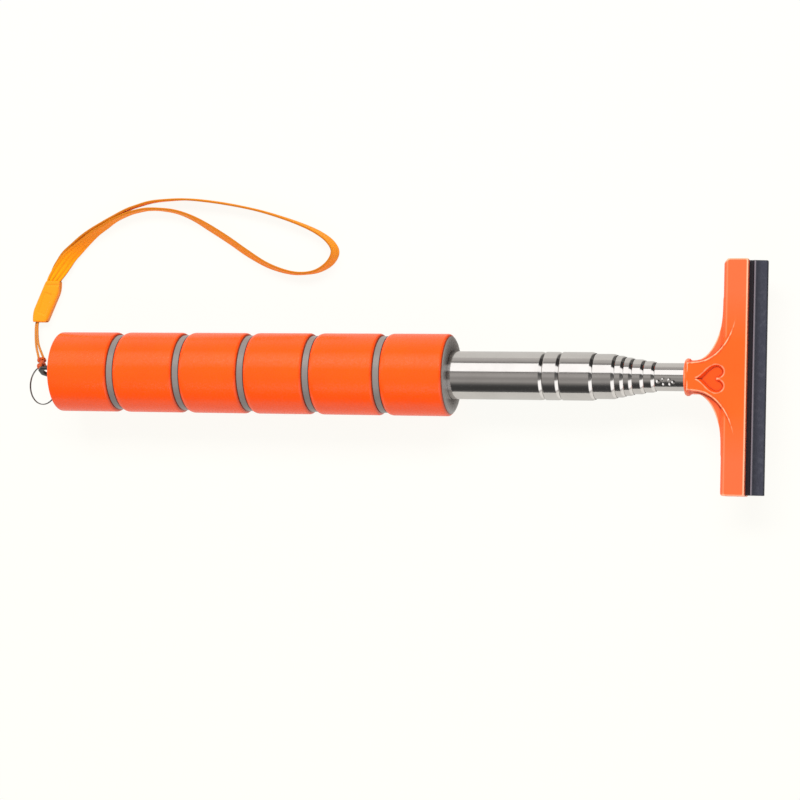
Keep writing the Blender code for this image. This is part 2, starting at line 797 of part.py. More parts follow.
def assemble():
    grip()
    tube(1)
    tail_plug()
    parent = None
    for number in range(2, TUBES + 1):
        rail = joint_axis(f"slide_{number}_axis", (tail_of(number), 0, 0), parent)
        carry(rail, friction_sleeve(number))
        swivel = joint_axis(f"swivel_{number}_axis", (tail_of(number), 0, 0), rail)
        carry(swivel, tube(number))
        parent = swivel
    carry(parent, head(), head_stud(), rubber_blade())
    ring_pivot = joint_axis("ring_swing_axis", (RING_X, 0, 0))
    carry(ring_pivot, split_ring(), cord_hitch())
    level = joint_axis("knot_level_axis", KNOT, ring_pivot)
    carry(level, cord_knot())
    turn = joint_axis("cord_turn_axis", KNOT, level)
    carry(turn, cord_loop(), crimp_clip())
    bend = joint_axis("strap_bend_axis", CLIP_FRONT, turn)
    carry(bend, wrist_strap())


for leftover in list(bpy.data.objects):
    bpy.data.objects.remove(leftover)
assemble()
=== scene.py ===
"""Looks of the telescopic squeegee: foam grip, steel pole, moulded head, rubber blade and wrist strap.

Pieces are built in millimetres in the part's own frame: +X from the tail to the head, +Z up.
"""

import math
import bpy
import numpy as np
from mathutils import Matrix, Vector

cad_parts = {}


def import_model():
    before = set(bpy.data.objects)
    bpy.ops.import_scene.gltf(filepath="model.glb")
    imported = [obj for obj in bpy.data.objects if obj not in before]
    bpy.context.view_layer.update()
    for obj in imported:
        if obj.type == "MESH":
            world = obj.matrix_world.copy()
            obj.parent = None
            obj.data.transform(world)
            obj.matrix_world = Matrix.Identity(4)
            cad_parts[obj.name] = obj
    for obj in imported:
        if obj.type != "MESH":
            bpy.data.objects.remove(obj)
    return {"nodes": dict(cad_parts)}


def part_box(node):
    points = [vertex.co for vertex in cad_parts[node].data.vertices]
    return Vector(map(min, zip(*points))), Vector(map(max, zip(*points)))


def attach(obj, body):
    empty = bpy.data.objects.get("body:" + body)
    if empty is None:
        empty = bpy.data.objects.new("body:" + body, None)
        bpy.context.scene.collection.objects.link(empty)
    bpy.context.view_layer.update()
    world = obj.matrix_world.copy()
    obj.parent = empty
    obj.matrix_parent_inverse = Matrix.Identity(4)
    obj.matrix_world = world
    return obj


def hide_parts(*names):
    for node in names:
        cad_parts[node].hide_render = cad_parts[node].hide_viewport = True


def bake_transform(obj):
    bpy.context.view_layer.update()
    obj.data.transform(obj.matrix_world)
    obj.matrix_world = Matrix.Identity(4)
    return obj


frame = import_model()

MM = 0.001
UP = np.array([0.0, 0.0, 1.0])
scene = bpy.context.scene
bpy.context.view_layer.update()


def box_mm(node):
    """Lowest and highest corner of a CAD node at rest."""
    low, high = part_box(node)
    return np.array(low) / MM, np.array(high) / MM


def round_size(node):
    """Rear, front and radius of a CAD node that stands round the X axis."""
    low, high = box_mm(node)
    return low[0], high[0], high[1]


# ---- Node material helpers ----


def srgb(red, green, blue):
    """Linear colour from 0-255 display values."""
    found = []
    for value in (red, green, blue):
        value /= 255
        found.append(value / 12.92 if value <= 0.04045 else ((value + 0.055) / 1.055) ** 2.4)
    return (*found, 1.0)


class Nodes:
    """Short calls to build the node tree of a material or a world."""

    def __init__(self, owner):
        self.owner = owner
        owner.use_nodes = True
        self.tree = owner.node_tree
        self.shader = self.tree.nodes.get("Principled BSDF")

    def add(self, kind, values=None, **settings):
        """Adds a shader node, with values for its inputs by name."""
        node = self.tree.nodes.new("ShaderNode" + kind)
        for key, value in settings.items():
            setattr(node, key, value)
        for key, value in (values or {}).items():
            self.put(value, node.inputs[key])
        return node

    def put(self, value, socket):
        if isinstance(value, bpy.types.NodeSocket):
            self.tree.links.new(value, socket)
        else:
            socket.default_value = value

    def set(self, name, value):
        """Sets an input of the material's own shader."""
        self.put(value, self.shader.inputs[name])

    def point(self, scale=(1, 1, 1)):
        place = self.add("TexCoord").outputs["Object"]
        return self.add("Mapping", {"Vector": place, "Scale": scale}).outputs[0]

    def attribute(self, name):
        return self.add("Attribute", attribute_name=name).outputs["Fac"]

    def noise(self, vector, scale, detail=3.0):
        values = {"Vector": vector, "Scale": scale, "Detail": detail}
        return self.add("TexNoise", values).outputs["Fac"]

    def fill(self, node, *values):
        """Gives the node's first inputs these values, in their order."""
        for value, socket in zip(values, node.inputs):
            self.put(value, socket)
        return node

    def maths(self, operation, *values):
        return self.fill(self.add("Math", operation=operation), *values).outputs[0]

    def wave(self, value, pitch):
        return self.maths("SINE", self.maths("MULTIPLY", value, 2 * math.pi / pitch))

    def span(self, value, low, high, to_low=0.0, to_high=1.0):
        values = {"Value": value, "From Min": low, "From Max": high, "To Min": to_low, "To Max": to_high}
        return self.add("MapRange", values).outputs[0]

    def mix(self, share, first, second):
        """Mixes two colours. The node keeps its colour inputs at 6 and 7 and its colour output at 2."""
        node = self.add("Mix", data_type="RGBA")
        for i, value in ((0, share), (6, first), (7, second)):
            self.put(value, node.inputs[i])
        return node.outputs[2]

    def between(self, share, first, second):
        """Mixes two plain numbers."""
        return self.add("Mix", {"Factor": share, "A": first, "B": second}).outputs[0]

    def either(self, share, first, second):
        """Mixes two shaders."""
        return self.fill(self.add("MixShader"), share, first.outputs[0], second.outputs[0])

    def bump(self, height, strength, distance, normal=None):
        values = {"Height": height, "Strength": strength, "Distance": distance}
        if normal is not None:
            values["Normal"] = normal
        return self.add("Bump", values).outputs[0]


def new_material(name):
    return Nodes(bpy.data.materials.new(name))


def foam_material(name, colour, deep, painted_shade):
    """Closed-cell foam: fine cells under a slightly glossy skin, with painted shade along the edges where
    the pieces meet.
    """
    n = new_material(name)
    place = n.point()
    blotch = n.noise(place, 90.0, 4.0)
    grain = n.noise(place, 1500.0, 2.0)
    base = n.mix(n.span(blotch, 0.35, 0.7), colour, deep)
    # The finest grain takes up to a tenth of the painted shade's colour.
    base = n.mix(n.span(grain, 0.42, 0.75, 0.0, 0.10), base, painted_shade)
    # Painted shade along the edges where blocks and discs meet.
    n.set("Base Color", n.mix(n.attribute("painted_shade"), base, painted_shade))
    n.set("Roughness", n.span(grain, 0.3, 0.7, 0.23, 0.31))
    cells = n.add("TexVoronoi", {"Vector": place, "Scale": 1900.0}).outputs["Distance"]
    fine = n.bump(cells, 0.06, 0.0001)
    n.set("Normal", n.bump(blotch, 0.08, 0.0005, fine))
    return n.owner


def steel_material(name, tint, roughness=0.07):
    """Bright drawn steel: faint lines along the tube, a little polishing haze, painted shade in the
    grooves.
    """
    n = new_material(name)
    lines = n.noise(n.point((0.06, 1.0, 1.0)), 2600.0, 2.0)
    haze = n.noise(n.point(), 160.0)
    base = n.mix(n.span(haze, 0.3, 0.7, 0.0, 0.25), tint, srgb(196, 190, 186))
    # Painted shade in the grooves and creases, where the surface bends inward.
    base = n.mix(n.span(n.attribute("bend"), -0.006, -0.03, 0.0, 0.85), base, srgb(52, 44, 40))
    # Painted shade, nearly black, where a piece marks it; the tail plug's lug has it.
    n.set("Base Color", n.mix(n.attribute("painted_shade"), base, srgb(40, 34, 32)))
    n.set("Metallic", 1.0)
    n.set("Roughness", n.span(haze, 0.3, 0.75, roughness, roughness + 0.06))
    n.set("Normal", n.bump(lines, 0.05, 0.00004))
    return n.owner


def brass_material():
    """Rolled strip: faint lines and a little tarnish."""
    n = new_material("rolled_brass")
    lines = n.noise(n.point((0.1, 1.0, 1.0)), 1800.0)
    stain = n.noise(n.point(), 220.0, 4.0)
    n.set("Base Color", n.mix(n.span(stain, 0.4, 0.7), srgb(214, 176, 96), srgb(170, 128, 70)))
    n.set("Metallic", 1.0)
    n.set("Roughness", n.span(lines, 0.3, 0.7, 0.26, 0.42))
    n.set("Normal", n.bump(lines, 0.12, 0.00006))
    return n.owner


def plastic_material(name, roughness, peel_scale, colour, deep, pale, shade_tint, crease, ridge):
    """Moulded plastic: soft mottling in the colour and a shallow orange-peel skin."""
    n = new_material(name)
    place = n.point()
    flow = n.noise(place, 55.0)
    peel = n.noise(place, peel_scale, 2.0)
    bend = n.attribute("bend")
    base = n.mix(n.span(flow, 0.35, 0.7), colour, deep)
    # Painted reflection in the pale colour, where the pale attribute marks it.
    base = n.mix(n.attribute("pale"), base, pale)
    # Painted shade in the darker tint, such as on the walls of the head's heart-shaped dent and on the
    # clip's sides.
    base = n.mix(n.attribute("painted_shade"), base, shade_tint)
    # Painted highlight along an edge, in the ridge colour.
    base = n.mix(n.attribute("painted_highlight"), base, ridge)
    # Painted shade in creases and painted highlight on ridges, from how far the surface bends.
    base = n.mix(n.span(bend, -0.012, -0.06, 0.0, 0.8), base, crease)
    n.set("Base Color", n.mix(n.span(bend, 0.014, 0.06, 0.0, 0.55), base, ridge))
    n.set("Roughness", n.span(peel, 0.3, 0.7, roughness, roughness + 0.12))
    n.set("Specular IOR Level", 0.3)
    n.set("Normal", n.bump(peel, 0.10, 0.00008, n.bump(flow, 0.10, 0.0004)))
    n.set("Coat Weight", 0.10)
    n.set("Coat Roughness", 0.25)
    return n.owner


def rubber_material():
    """Extruded rubber: lines along the blade and a trace of dust."""
    n = new_material("slate_rubber")
    lines = n.noise(n.point((1.0, 0.02, 1.0)), 2400.0, 2.0)
    dust = n.noise(n.point(), 700.0, 4.0)
    base = n.mix(n.span(dust, 0.5, 0.75, 0.0, 0.35), srgb(52, 53, 64), srgb(84, 85, 95))
    # Painted highlight on the blade's ridge, where the pale attribute marks it.
    base = n.mix(n.attribute("pale"), base, srgb(124, 117, 124))
    # Painted shade, nearly black, in the channel, along the tip's edge and at the cut ends.
    n.set("Base Color", n.mix(n.attribute("painted_shade"), base, srgb(16, 16, 22)))
    n.set("Roughness", n.span(dust, 0.3, 0.7, 0.42, 0.6))
    n.set("Normal", n.bump(lines, 0.12, 0.00008, n.bump(dust, 0.1, 0.00006)))
    return n.owner


# The ribbon's and the cord's patterns, in mm
WARP_PITCH, WEFT_PITCH, RIB_PITCH = 0.34, 0.42, 0.36
SELVEDGE_START, SELVEDGE_FULL = 1.75, 2.05
BRAID_PITCH = 0.75
YARNS_ROUND = 4.0


def ribbon_material():
    """Plain-woven nylon: threads along and across, a ribbed selvedge, paler high spots."""
    n = new_material("woven_nylon")
    along, across = n.attribute("along"), n.attribute("across")
    weave = n.maths("MULTIPLY", n.wave(across, WARP_PITCH), n.wave(along, WEFT_PITCH))
    from_middle = n.maths("ABSOLUTE", across)
    edge = n.span(from_middle, SELVEDGE_START, SELVEDGE_FULL)
    height = n.between(edge, weave, n.wave(from_middle, RIB_PITCH))
    fibre = n.noise(n.point(), 900.0)
    base = n.mix(n.span(height, -1.0, 1.0), srgb(240, 132, 4), srgb(255, 158, 14))
    base = n.mix(n.span(fibre, 0.3, 0.8, 0.0, 0.2), base, srgb(255, 164, 26))
    base = n.mix(n.maths("MULTIPLY", edge, 0.3), base, srgb(196, 120, 34))
    # Painted highlight, yellow, over the part gathered into the clip.
    base = n.mix(n.maths("MULTIPLY", n.attribute("gather"), 0.8), base, srgb(250, 166, 0))
    # Painted shade at the ribbon's thin edges and in the creases of the gather.
    n.set("Base Color", n.mix(n.attribute("painted_shade"), base, srgb(96, 46, 22)))
    n.set("Roughness", n.span(fibre, 0.3, 0.7, 0.5, 0.72))
    n.set("Normal", n.bump(height, 0.45, 0.00009))
    n.set("Specular IOR Level", 0.25)
    return n.owner


def cord_material(name, light, dark):
    """Braided nylon cord: diamonds from two opposed spirals of yarn."""
    n = new_material(name)
    turned_round = n.maths("MULTIPLY", n.attribute("across"), YARNS_ROUND)
    moved_on = n.maths("MULTIPLY", n.attribute("along"), 2 * math.pi / BRAID_PITCH)
    one = n.maths("SINE", n.maths("ADD", turned_round, moved_on))
    other = n.maths("SINE", n.maths("SUBTRACT", turned_round, moved_on))
    braid = n.maths("MAXIMUM", one, other)
    fuzz = n.noise(n.point(), 1500.0)
    base = n.mix(n.span(braid, -0.2, 1.0), dark, light)
    n.set("Base Color", n.mix(n.span(fuzz, 0.4, 0.8, 0.0, 0.3), base, light))
    n.set("Roughness", n.span(fuzz, 0.3, 0.7, 0.6, 0.8))
    n.set("Normal", n.bump(braid, 0.5, 0.0001))
    n.set("Sheen Weight", 0.2)
    return n.owner


ORANGE_FOAM = foam_material("orange_foam", srgb(255, 82, 0), srgb(254, 79, 0), srgb(122, 38, 14))
GREY_FOAM = foam_material("grey_foam", srgb(142, 136, 132), srgb(132, 127, 124), srgb(88, 80, 76))
STEEL = steel_material("drawn_steel", srgb(226, 222, 219))
DARK_STEEL = steel_material("ring_steel", srgb(112, 104, 98), 0.14)
BRASS = brass_material()
# Besides each plastic's own two colours, the next four are for painted reflection, painted shade in dents
# and on sides, painted shade in creases, and painted highlight.
HEAD_PLASTIC = plastic_material(
    "orange_plastic", roughness=0.34, peel_scale=900.0,
    colour=srgb(248, 92, 28), deep=srgb(245, 88, 25), pale=srgb(240, 98, 54),
    shade_tint=srgb(240, 77, 20), crease=srgb(104, 30, 12), ridge=srgb(255, 206, 170),
)
CLIP_PLASTIC = plastic_material(
    "yellow_plastic", roughness=0.38, peel_scale=700.0,
    colour=srgb(250, 146, 20), deep=srgb(248, 140, 16), pale=srgb(252, 170, 40),
    shade_tint=srgb(140, 84, 16), crease=srgb(120, 70, 20), ridge=srgb(255, 206, 100),
)
RUBBER = rubber_material()
NYLON = ribbon_material()
CORD = cord_material("braided_cord", srgb(226, 142, 46), srgb(150, 84, 22))
# The same cord with painted shade, for the wrap round the ring, the leads and the knot.
CORD_IN_PAINTED_SHADE = cord_material("tied_cord_painted_shade", srgb(220, 92, 14), srgb(118, 24, 5))


# ---- Mesh helpers, all in millimetres ----


def values_of(items, name, kind, width):
    """One property of all the items, a row for each."""
    found = np.empty(len(items) * width, kind)
    items.foreach_get(name, found)
    return found.reshape(-1, width)


def bend_of(mesh):
    """How far each point stands out of its neighbours, in mm: above 0 on ridges, below 0 in creases."""
    count = len(mesh.vertices)
    points = values_of(mesh.vertices, "co", np.float32, 3) / MM
    normals = values_of(mesh.vertex_normals, "vector", np.float32, 3)
    ends = values_of(mesh.edges, "vertices", np.int32, 2)
    pairs = np.concatenate([ends, ends[:, ::-1]])
    degree = np.maximum(np.bincount(pairs[:, 0], minlength=count), 1)

    def mean(values):
        return np.bincount(pairs[:, 0], values[pairs[:, 1]], count) / degree

    smoothed = points
    for _ in range(3):
        smoothed = np.stack([mean(smoothed[:, i]) for i in range(3)], 1)
    return np.einsum("ij,ij->i", points - smoothed, normals).astype(np.float32)


def made(name, points, faces, material, body, node, attributes, sharp):
    """Makes the piece, gives it its float attributes, and puts it on its body.

    A piece without a body is left unattached; it is one that bends between two.
    """
    mesh = bpy.data.meshes.new(name)
    mesh.from_pydata((np.asarray(points, float) * MM).tolist(), [], faces)
    mesh.validate()
    for key, values in attributes.items():
        values = np.asarray(values, np.float32)
        mesh.attributes.new(key, "FLOAT", "POINT").data.foreach_set("value", values)
    mesh.shade_smooth()
    mesh.set_sharp_from_angle(angle=math.radians(sharp))
    mesh.attributes.new("bend", "FLOAT", "POINT").data.foreach_set("value", bend_of(mesh))
    piece = bpy.data.objects.new(name, mesh)
    mesh.materials.append(material)
    scene.collection.objects.link(piece)
    if body:
        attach(piece, body)
    if node:
        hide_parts(node)
    return piece


def ring_faces(rows, columns, close_rows=False):
    """Quads of a grid whose columns close round."""
    faces = []
    for i in range(rows if close_rows else rows - 1):
        a, b = i * columns, (i + 1) % rows * columns
        for j in range(columns):
            k = (j + 1) % columns
            faces.append((a + j, a + k, b + k, b + j))
    return faces


def capped_faces(rows, columns):
    """The same, with one face over each open end."""
    last = (rows - 1) * columns
    ends = [tuple(range(columns))[::-1], tuple(range(last, last + columns))]
    return ring_faces(rows, columns) + ends


def turned(name, outline, material, body, node, steps, painted_shade=None, sharp=30.0):
    """Spins a closed outline of (x, radius) round the X axis.

    The outline runs up the rear, forward outside and back inside.
    """
    outline = np.array(outline, float)
    turns = 2 * np.pi * np.arange(steps) / steps
    x = np.repeat(outline[:, 0], steps)
    radius = np.repeat(outline[:, 1], steps)
    turn = np.tile(turns, len(outline))
    points = np.stack([x, radius * np.cos(turn), radius * np.sin(turn)], 1)
    faces = ring_faces(len(outline), steps, close_rows=True)
    attributes = {"painted_shade": np.repeat(painted_shade, steps) if painted_shade is not None else np.zeros(len(points))}
    return made(name, points, faces, material, body, node, attributes, sharp)


def units(vectors):
    return vectors / np.linalg.norm(vectors, axis=1)[:, None]


def turn_between(turns, first, second):
    """Points of a unit circle that starts at the first direction and turns towards the second."""
    return np.cos(turns)[:, None] * first + np.sin(turns)[:, None] * second


def frames_along(path, closed=False):
    """Unit side and up at each point of a path, with the least twist."""
    tangent = np.roll(path, -1, 0) - np.roll(path, 1, 0) if closed else np.gradient(path, axis=0)
    tangent = units(tangent)
    up = np.zeros_like(path)
    current = UP
    for i, ahead in enumerate(tangent):
        current = current - (current @ ahead) * ahead
        current /= np.linalg.norm(current)
        up[i] = current
    return np.cross(tangent, up), up


def lengths_along(path):
    """Distance from the path's start to each of its points."""
    return np.concatenate([[0.0], np.cumsum(np.linalg.norm(np.diff(path, axis=0), axis=1))])


def rope(name, path, radius, material, body, node, sides, closed=False):
    """Round cord or wire along a path, with flat ends."""
    radii = np.broadcast_to(radius, len(path))
    side, up = frames_along(path, closed)
    turns = 2 * np.pi * np.arange(sides) / sides
    rings = path[:, None] + radii[:, None, None] * turn_between(turns, side[:, None], up[:, None])
    points = rings.reshape(-1, 3)
    along = np.repeat(lengths_along(path), sides)
    across = np.tile(turns, len(path))
    faces = ring_faces(len(path), sides, True) if closed else capped_faces(len(path), sides)
    faces = [face[::-1] for face in faces]
    return made(name, points, faces, material, body, node, {"along": along, "across": across}, 50.0)


def smooth_path(stations, per_span):
    """Catmull-Rom curve through stations of any width."""
    stations = np.asarray(stations, float)
    padded = np.vstack([2 * stations[0] - stations[1], stations, 2 * stations[-1] - stations[-2]])
    found = []
    for before, start, end, after in zip(padded, padded[1:], padded[2:], padded[3:]):
        for t in np.arange(per_span) / per_span:
            cubic = 3 * start - before - 3 * end + after
            square = 2 * before - 5 * start + 4 * end - after
            found.append(0.5 * (2 * start + (end - before) * t + square * t**2 + cubic * t**3))
    found.append(stations[-1])
    return np.array(found)


def surface_net(distance, low, high, step):
    """Closed mesh of where distance(x, y, z) is zero, one point in each grid cell it crosses."""
    axes = [np.arange(a - 1.5 * step, b + 2.5 * step, step) for a, b in zip(low, high)]
    field = distance(*np.meshgrid(*axes, indexing="ij", sparse=True))
    field = np.broadcast_to(field, [len(axis) for axis in axes])
    inside = field < 0
    shape = np.array(field.shape) - 1
    total = np.zeros((*shape, 3))
    count = np.zeros(shape)
    corners = [(i, j, k) for i in (0, 1) for j in (0, 1) for k in (0, 1)]

    def corner(array, at):
        return array[tuple(slice(start, start + size) for start, size in zip(at, shape))]

    # A cell's point is the mean of where the surface crosses the cell's edges
    for a in corners:
        for axis in range(3):
            if a[axis]:
                continue
            b = tuple(value + (i == axis) for i, value in enumerate(a))
            fa, fb = corner(field, a), corner(field, b)
            crossed = corner(inside, a) != corner(inside, b)
            share = np.where(crossed, fa / np.where(crossed, fa - fb, 1.0), 0.0)
            for i in range(3):
                total[..., i] += np.where(crossed, a[i] + (share if i == axis else 0.0), 0.0)
            count += crossed
    used = count > 0
    number = np.full(shape, -1)
    number[used] = np.arange(used.sum())
    cells = np.argwhere(used)
    origin = np.array([axis[0] for axis in axes])
    points = origin + step * (cells + total[used] / count[used][:, None])
    faces = []
    for axis in range(3):
        one, two = [(1, 2), (2, 0), (0, 1)][axis]
        # Each grid edge that the surface crosses is the middle of a face between its four cells
        places = np.argwhere(np.diff(inside, axis=axis))
        inner = (places[:, one] > 0) & (places[:, two] > 0)
        inner &= (places[:, one] < shape[one]) & (places[:, two] < shape[two])
        places = places[inner]
        quad = []
        for back in ((1, 1), (0, 1), (0, 0), (1, 0)):
            cell = places.copy()
            cell[:, [one, two]] -= back
            quad.append(number[tuple(cell.T)])
        quad = np.stack(quad, 1)
        outward = inside[tuple(places.T)]
        quad[~outward] = quad[~outward][:, ::-1]
        faces.append(quad)
    return points, np.concatenate(faces).tolist()


def soft_union(first, second, radius):
    """Both shapes, with the corner between them filled to about the radius."""
    share = np.maximum(radius - np.abs(first - second), 0) / radius
    return np.minimum(first, second) - share * share * radius / 4


def soft_cut(first, second, radius):
    """The first shape without the second, with the new edge rounded."""
    return -soft_union(-first, second, radius)


def rounded_box(x, y, z, centre, half, rounding):
    """Distance to a box of the given half sizes whose edges are rounded."""
    parts = [np.abs(v - middle) - size + rounding for v, middle, size in zip((x, y, z), centre, half)]
    outside = np.sqrt(sum(np.maximum(part, 0) ** 2 for part in parts))
    return outside + np.minimum(np.maximum(np.maximum(parts[0], parts[1]), parts[2]), 0) - rounding


def outline_distance(x, y, outline):
    """Signed distance to a closed plane outline, negative inside."""
    outline = np.asarray(outline, float)
    nearest = np.full(np.broadcast(x, y).shape, np.inf)
    within = np.zeros(nearest.shape, bool)
    for (ax, ay), (bx, by) in zip(outline, np.roll(outline, -1, 0)):
        dx, dy = bx - ax, by - ay
        share = np.clip(((x - ax) * dx + (y - ay) * dy) / (dx * dx + dy * dy), 0, 1)
        nearest = np.minimum(nearest, (x - ax - share * dx) ** 2 + (y - ay - share * dy) ** 2)
        if dy:
            crosses = (ay > y) != (by > y)
            within ^= crosses & (x < ax + (y - ay) * dx / dy)
    return np.where(within, -1, 1) * np.sqrt(nearest)


def arc(centre, radii, start, end, steps):
    """Points of an elliptical arc between two angles in degrees."""
    turns = np.radians(np.linspace(start, end, steps))
    return [(centre[0] + radii[0] * math.cos(t), centre[1] + radii[1] * math.sin(t)) for t in turns]


# ---- Grip ----

BORE_PLAY = 0.1
# (length, height) of the rounded corners: the grip's rear, the other blocks' rears, all the fronts
REAR_CORNER = (0.5, 0.5)
SHOULDER = (1.9, 1.2)
FRONT_CORNER = (0.9, 0.9)
DISC_CORNER = 0.1
GRIP_STEPS = 144


def grip():
    bore = round_size("tube_1")[2] + BORE_PLAY
    count = sum(name.startswith("grip_block_") for name in frame["nodes"])
    for number in range(1, count + 1):
        grip_block(number, bore)
        grip_disc(number, bore, number == count)


def grip_block(number, bore):
    node = f"grip_block_{number}"
    rear, front, radius = round_size(node)
    long, tall = REAR_CORNER if number == 1 else SHOULDER
    shoulder = arc((rear + long, radius - tall), (long, tall), 180, 90, 9 if number == 1 else 14)
    long, tall = FRONT_CORNER
    edge = arc((front - long, radius - tall), (long, tall), 90, 0, 10)
    outline = [(rear, bore)] + shoulder + edge + [(front, bore)]
    # Painted shade: half at the rear bore, none on the shoulder, growing over the front edge to full
    # where the block meets the next disc.
    painted_shade = [0.5] + [0.0] * len(shoulder) + list(np.linspace(0.0, 1.0, len(edge)) ** 1.5) + [1.0]
    turned(f"foam_block_{number}", outline, ORANGE_FOAM, "handle", node, GRIP_STEPS, painted_shade)


def grip_disc(number, bore, foremost):
    """A thin disc with broken edges; the foremost one slopes down to the pole."""
    node = f"grip_disc_{number}"
    rear, front, radius = round_size(node)
    # Painted shade, strongest at the corners where a disc meets the blocks and, for the foremost, where
    # it meets the pole.
    if foremost:
        outline = [(rear, bore), (rear, radius), (rear + 0.1, radius - 0.05), (rear + 0.25, radius - 0.3)]
        outline += [(front, radius - 0.9), (front, bore)]
        painted_shade = [0.3, 0.3, 0.1, 0.0, 0.0, 1.0]
    else:
        outline = [(rear, bore), (rear, radius - DISC_CORNER), (rear + DISC_CORNER, radius)]
        outline += [(front - DISC_CORNER, radius), (front, radius - DISC_CORNER), (front, bore)]
        painted_shade = [0.6, 0.9, 0.3, 0.3, 0.9, 0.6]
    turned(f"foam_disc_{number}", outline, GREY_FOAM, "handle", node, GRIP_STEPS, painted_shade)


# ---- Pole ----

TUBES = 7
TUBE_RADIUS = 7.0
TUBE_WALL = 0.25
TUBE_STEP = 0.5
# Where the two rolled beads are deepest, their depth, and their length before and after that place
BEADS = (159.3, 164.2)
BEAD_DEPTH = 0.36
BEAD_RUN_IN, BEAD_RUN_OUT = 1.15, 0.3
# A flared tail and a stop ridge keep each sliding tube in the one round it
FLARE_HEIGHT = 0.13
RIDGE_PLACE = 12.4
RIDGE_HEIGHT = 0.12
RIDGE_HALF = 0.45
# The mouths curl in towards the next tube
CURL_LENGTH = 1.15
CURL_DEPTH = 0.34
CURL_PLAY = 0.06
# Dimples of the crimp that holds the head: (x, degrees from straight up), inside a stretch of fine mesh
DIMPLED_STRETCH = (191.8, 197.6)
DIMPLES = ((192.6, -22), (194.1, -14), (194.3, -34), (195.9, -16), (196.1, -34), (196.9, -25))
DIMPLE_DEPTH = 0.16
DIMPLE_RADIUS = 0.62


def bead_dip(x):
    """A bead narrows slowly towards the head and opens again steeply."""
    dip = np.zeros_like(x)
    for centre in BEADS:
        run_in = np.clip((x - centre + BEAD_RUN_IN) / BEAD_RUN_IN, 0, 1) ** 1.7
        run_out = np.clip(1 - (x - centre) / BEAD_RUN_OUT, 0, 1) ** 1.3
        dip += BEAD_DEPTH * np.where(x <= centre, run_in, run_out)
    return dip


def beaded(tail, radius, bore):
    """Outside and inside of the first tube, up to its mouth."""
    stations = np.concatenate([np.linspace(bead - 1.3, bead + 0.4, 23) for bead in BEADS])
    outside = [(tail, radius)] + [(x, radius - bead_dip(x)) for x in stations]
    inside = [(tail, bore)] + [(x, bore - bead_dip(x)) for x in stations]
    return outside, inside


def flared(tail, radius, bore):
    """Outside and inside of a sliding tube, up to its mouth. Flat stretches keep the bends local."""
    ridge = tail + RIDGE_PLACE
    outside = [(tail, radius + FLARE_HEIGHT), (tail + 0.3, radius + FLARE_HEIGHT - 0.02)]
    outside += [(x, radius) for x in (tail + 0.9, tail + 1.3, ridge - 0.9)]
    for away in np.linspace(-RIDGE_HALF, RIDGE_HALF, 7):
        height = RIDGE_HEIGHT * math.cos(away / RIDGE_HALF * math.pi / 2) ** 2
        outside.append((ridge + away, radius + height))
    outside += [(x, radius) for x in (ridge + 0.9, ridge + 1.3)]
    return outside, [(tail, bore)]


def tubes():
    """Fine tubes on the CAD's own lengths: rolled beads, curled mouths, flared tails and stop ridges."""
    for number in range(1, TUBES + 1):
        node = f"tube_{number}"
        tail, mouth, _ = round_size(node)
        radius = TUBE_RADIUS - (number - 1) * TUBE_STEP
        bore = radius - TUBE_WALL
        outside, inside = (beaded if number == 1 else flared)(tail, radius, bore)
        if number < TUBES:
            curl = radius - TUBE_STEP + CURL_PLAY
            outside += [(mouth - 1.7, radius)]
            for t in np.linspace(0, 1, 12):
                outside.append((mouth - CURL_LENGTH + 1.1 * t, radius - CURL_DEPTH * t**1.8))
            outside += [(mouth, radius - CURL_DEPTH - 0.08)]
            inside += [(mouth - 1.1, bore), (mouth - 0.6, curl + 0.03), (mouth - 0.1, curl)]
            inside += [(mouth, curl + 0.1)]
        else:
            outside += [(x, radius) for x in np.arange(*DIMPLED_STRETCH, 0.12)] + [(mouth, radius)]
            inside += [(mouth, bore)]
        body = {1: "handle", TUBES: "head"}.get(number, node)
        tube = turned(f"steel_{node}", outside + inside[::-1], STEEL, body, node, 128, sharp=38.0)
    dimple(tube, radius)


def dimple(tube, radius):
    """Presses the crimp's small dimples into the last tube."""
    points = values_of(tube.data.vertices, "co", np.float32, 3) / MM
    across = np.hypot(points[:, 1], points[:, 2])
    angle = np.arctan2(points[:, 1], points[:, 2])
    depth = np.zeros(len(points))
    for x, turn in DIMPLES:
        away = np.hypot(points[:, 0] - x, radius * (angle - math.radians(turn)))
        depth += DIMPLE_DEPTH * np.clip(1 - (away / DIMPLE_RADIUS) ** 2, 0, 1) ** 1.5
    depth *= across > radius - 0.05
    points[:, 1:] *= ((across - depth) / across)[:, None]
    tube.data.vertices.foreach_set("co", (points * MM).astype(np.float32).ravel())
    tube.data.update()


def sleeves():
    """The sleeves stay hidden in the tubes, so the CAD's own solids take the brass."""
    for name, node in frame["nodes"].items():
        if name.startswith("friction_sleeve_"):
            node.data.materials.clear()
            node.data.materials.append(BRASS)


STUD_SHOULDER = 203.3
STUD_NOSE_RADIUS = 2.3


def stud():
    """Plug in the last tube, whose thinner nose stands in the head."""
    rear, front, radius = round_size("head_stud")
    outline = [(rear, 0.01), (rear, radius - 0.5), (rear + 0.15, radius - 0.2), (rear + 0.4, radius)]
    outline += [(STUD_SHOULDER - 0.1, radius), (STUD_SHOULDER, radius - 0.1)]
    outline += [(STUD_SHOULDER, STUD_NOSE_RADIUS + 0.05), (STUD_SHOULDER + 0.05, STUD_NOSE_RADIUS)]
    outline += [(front - 0.2, STUD_NOSE_RADIUS), (front, STUD_NOSE_RADIUS - 0.2), (front, 0.01)]
    turned("steel_stud", outline, STEEL, "head", "head_stud", 96)


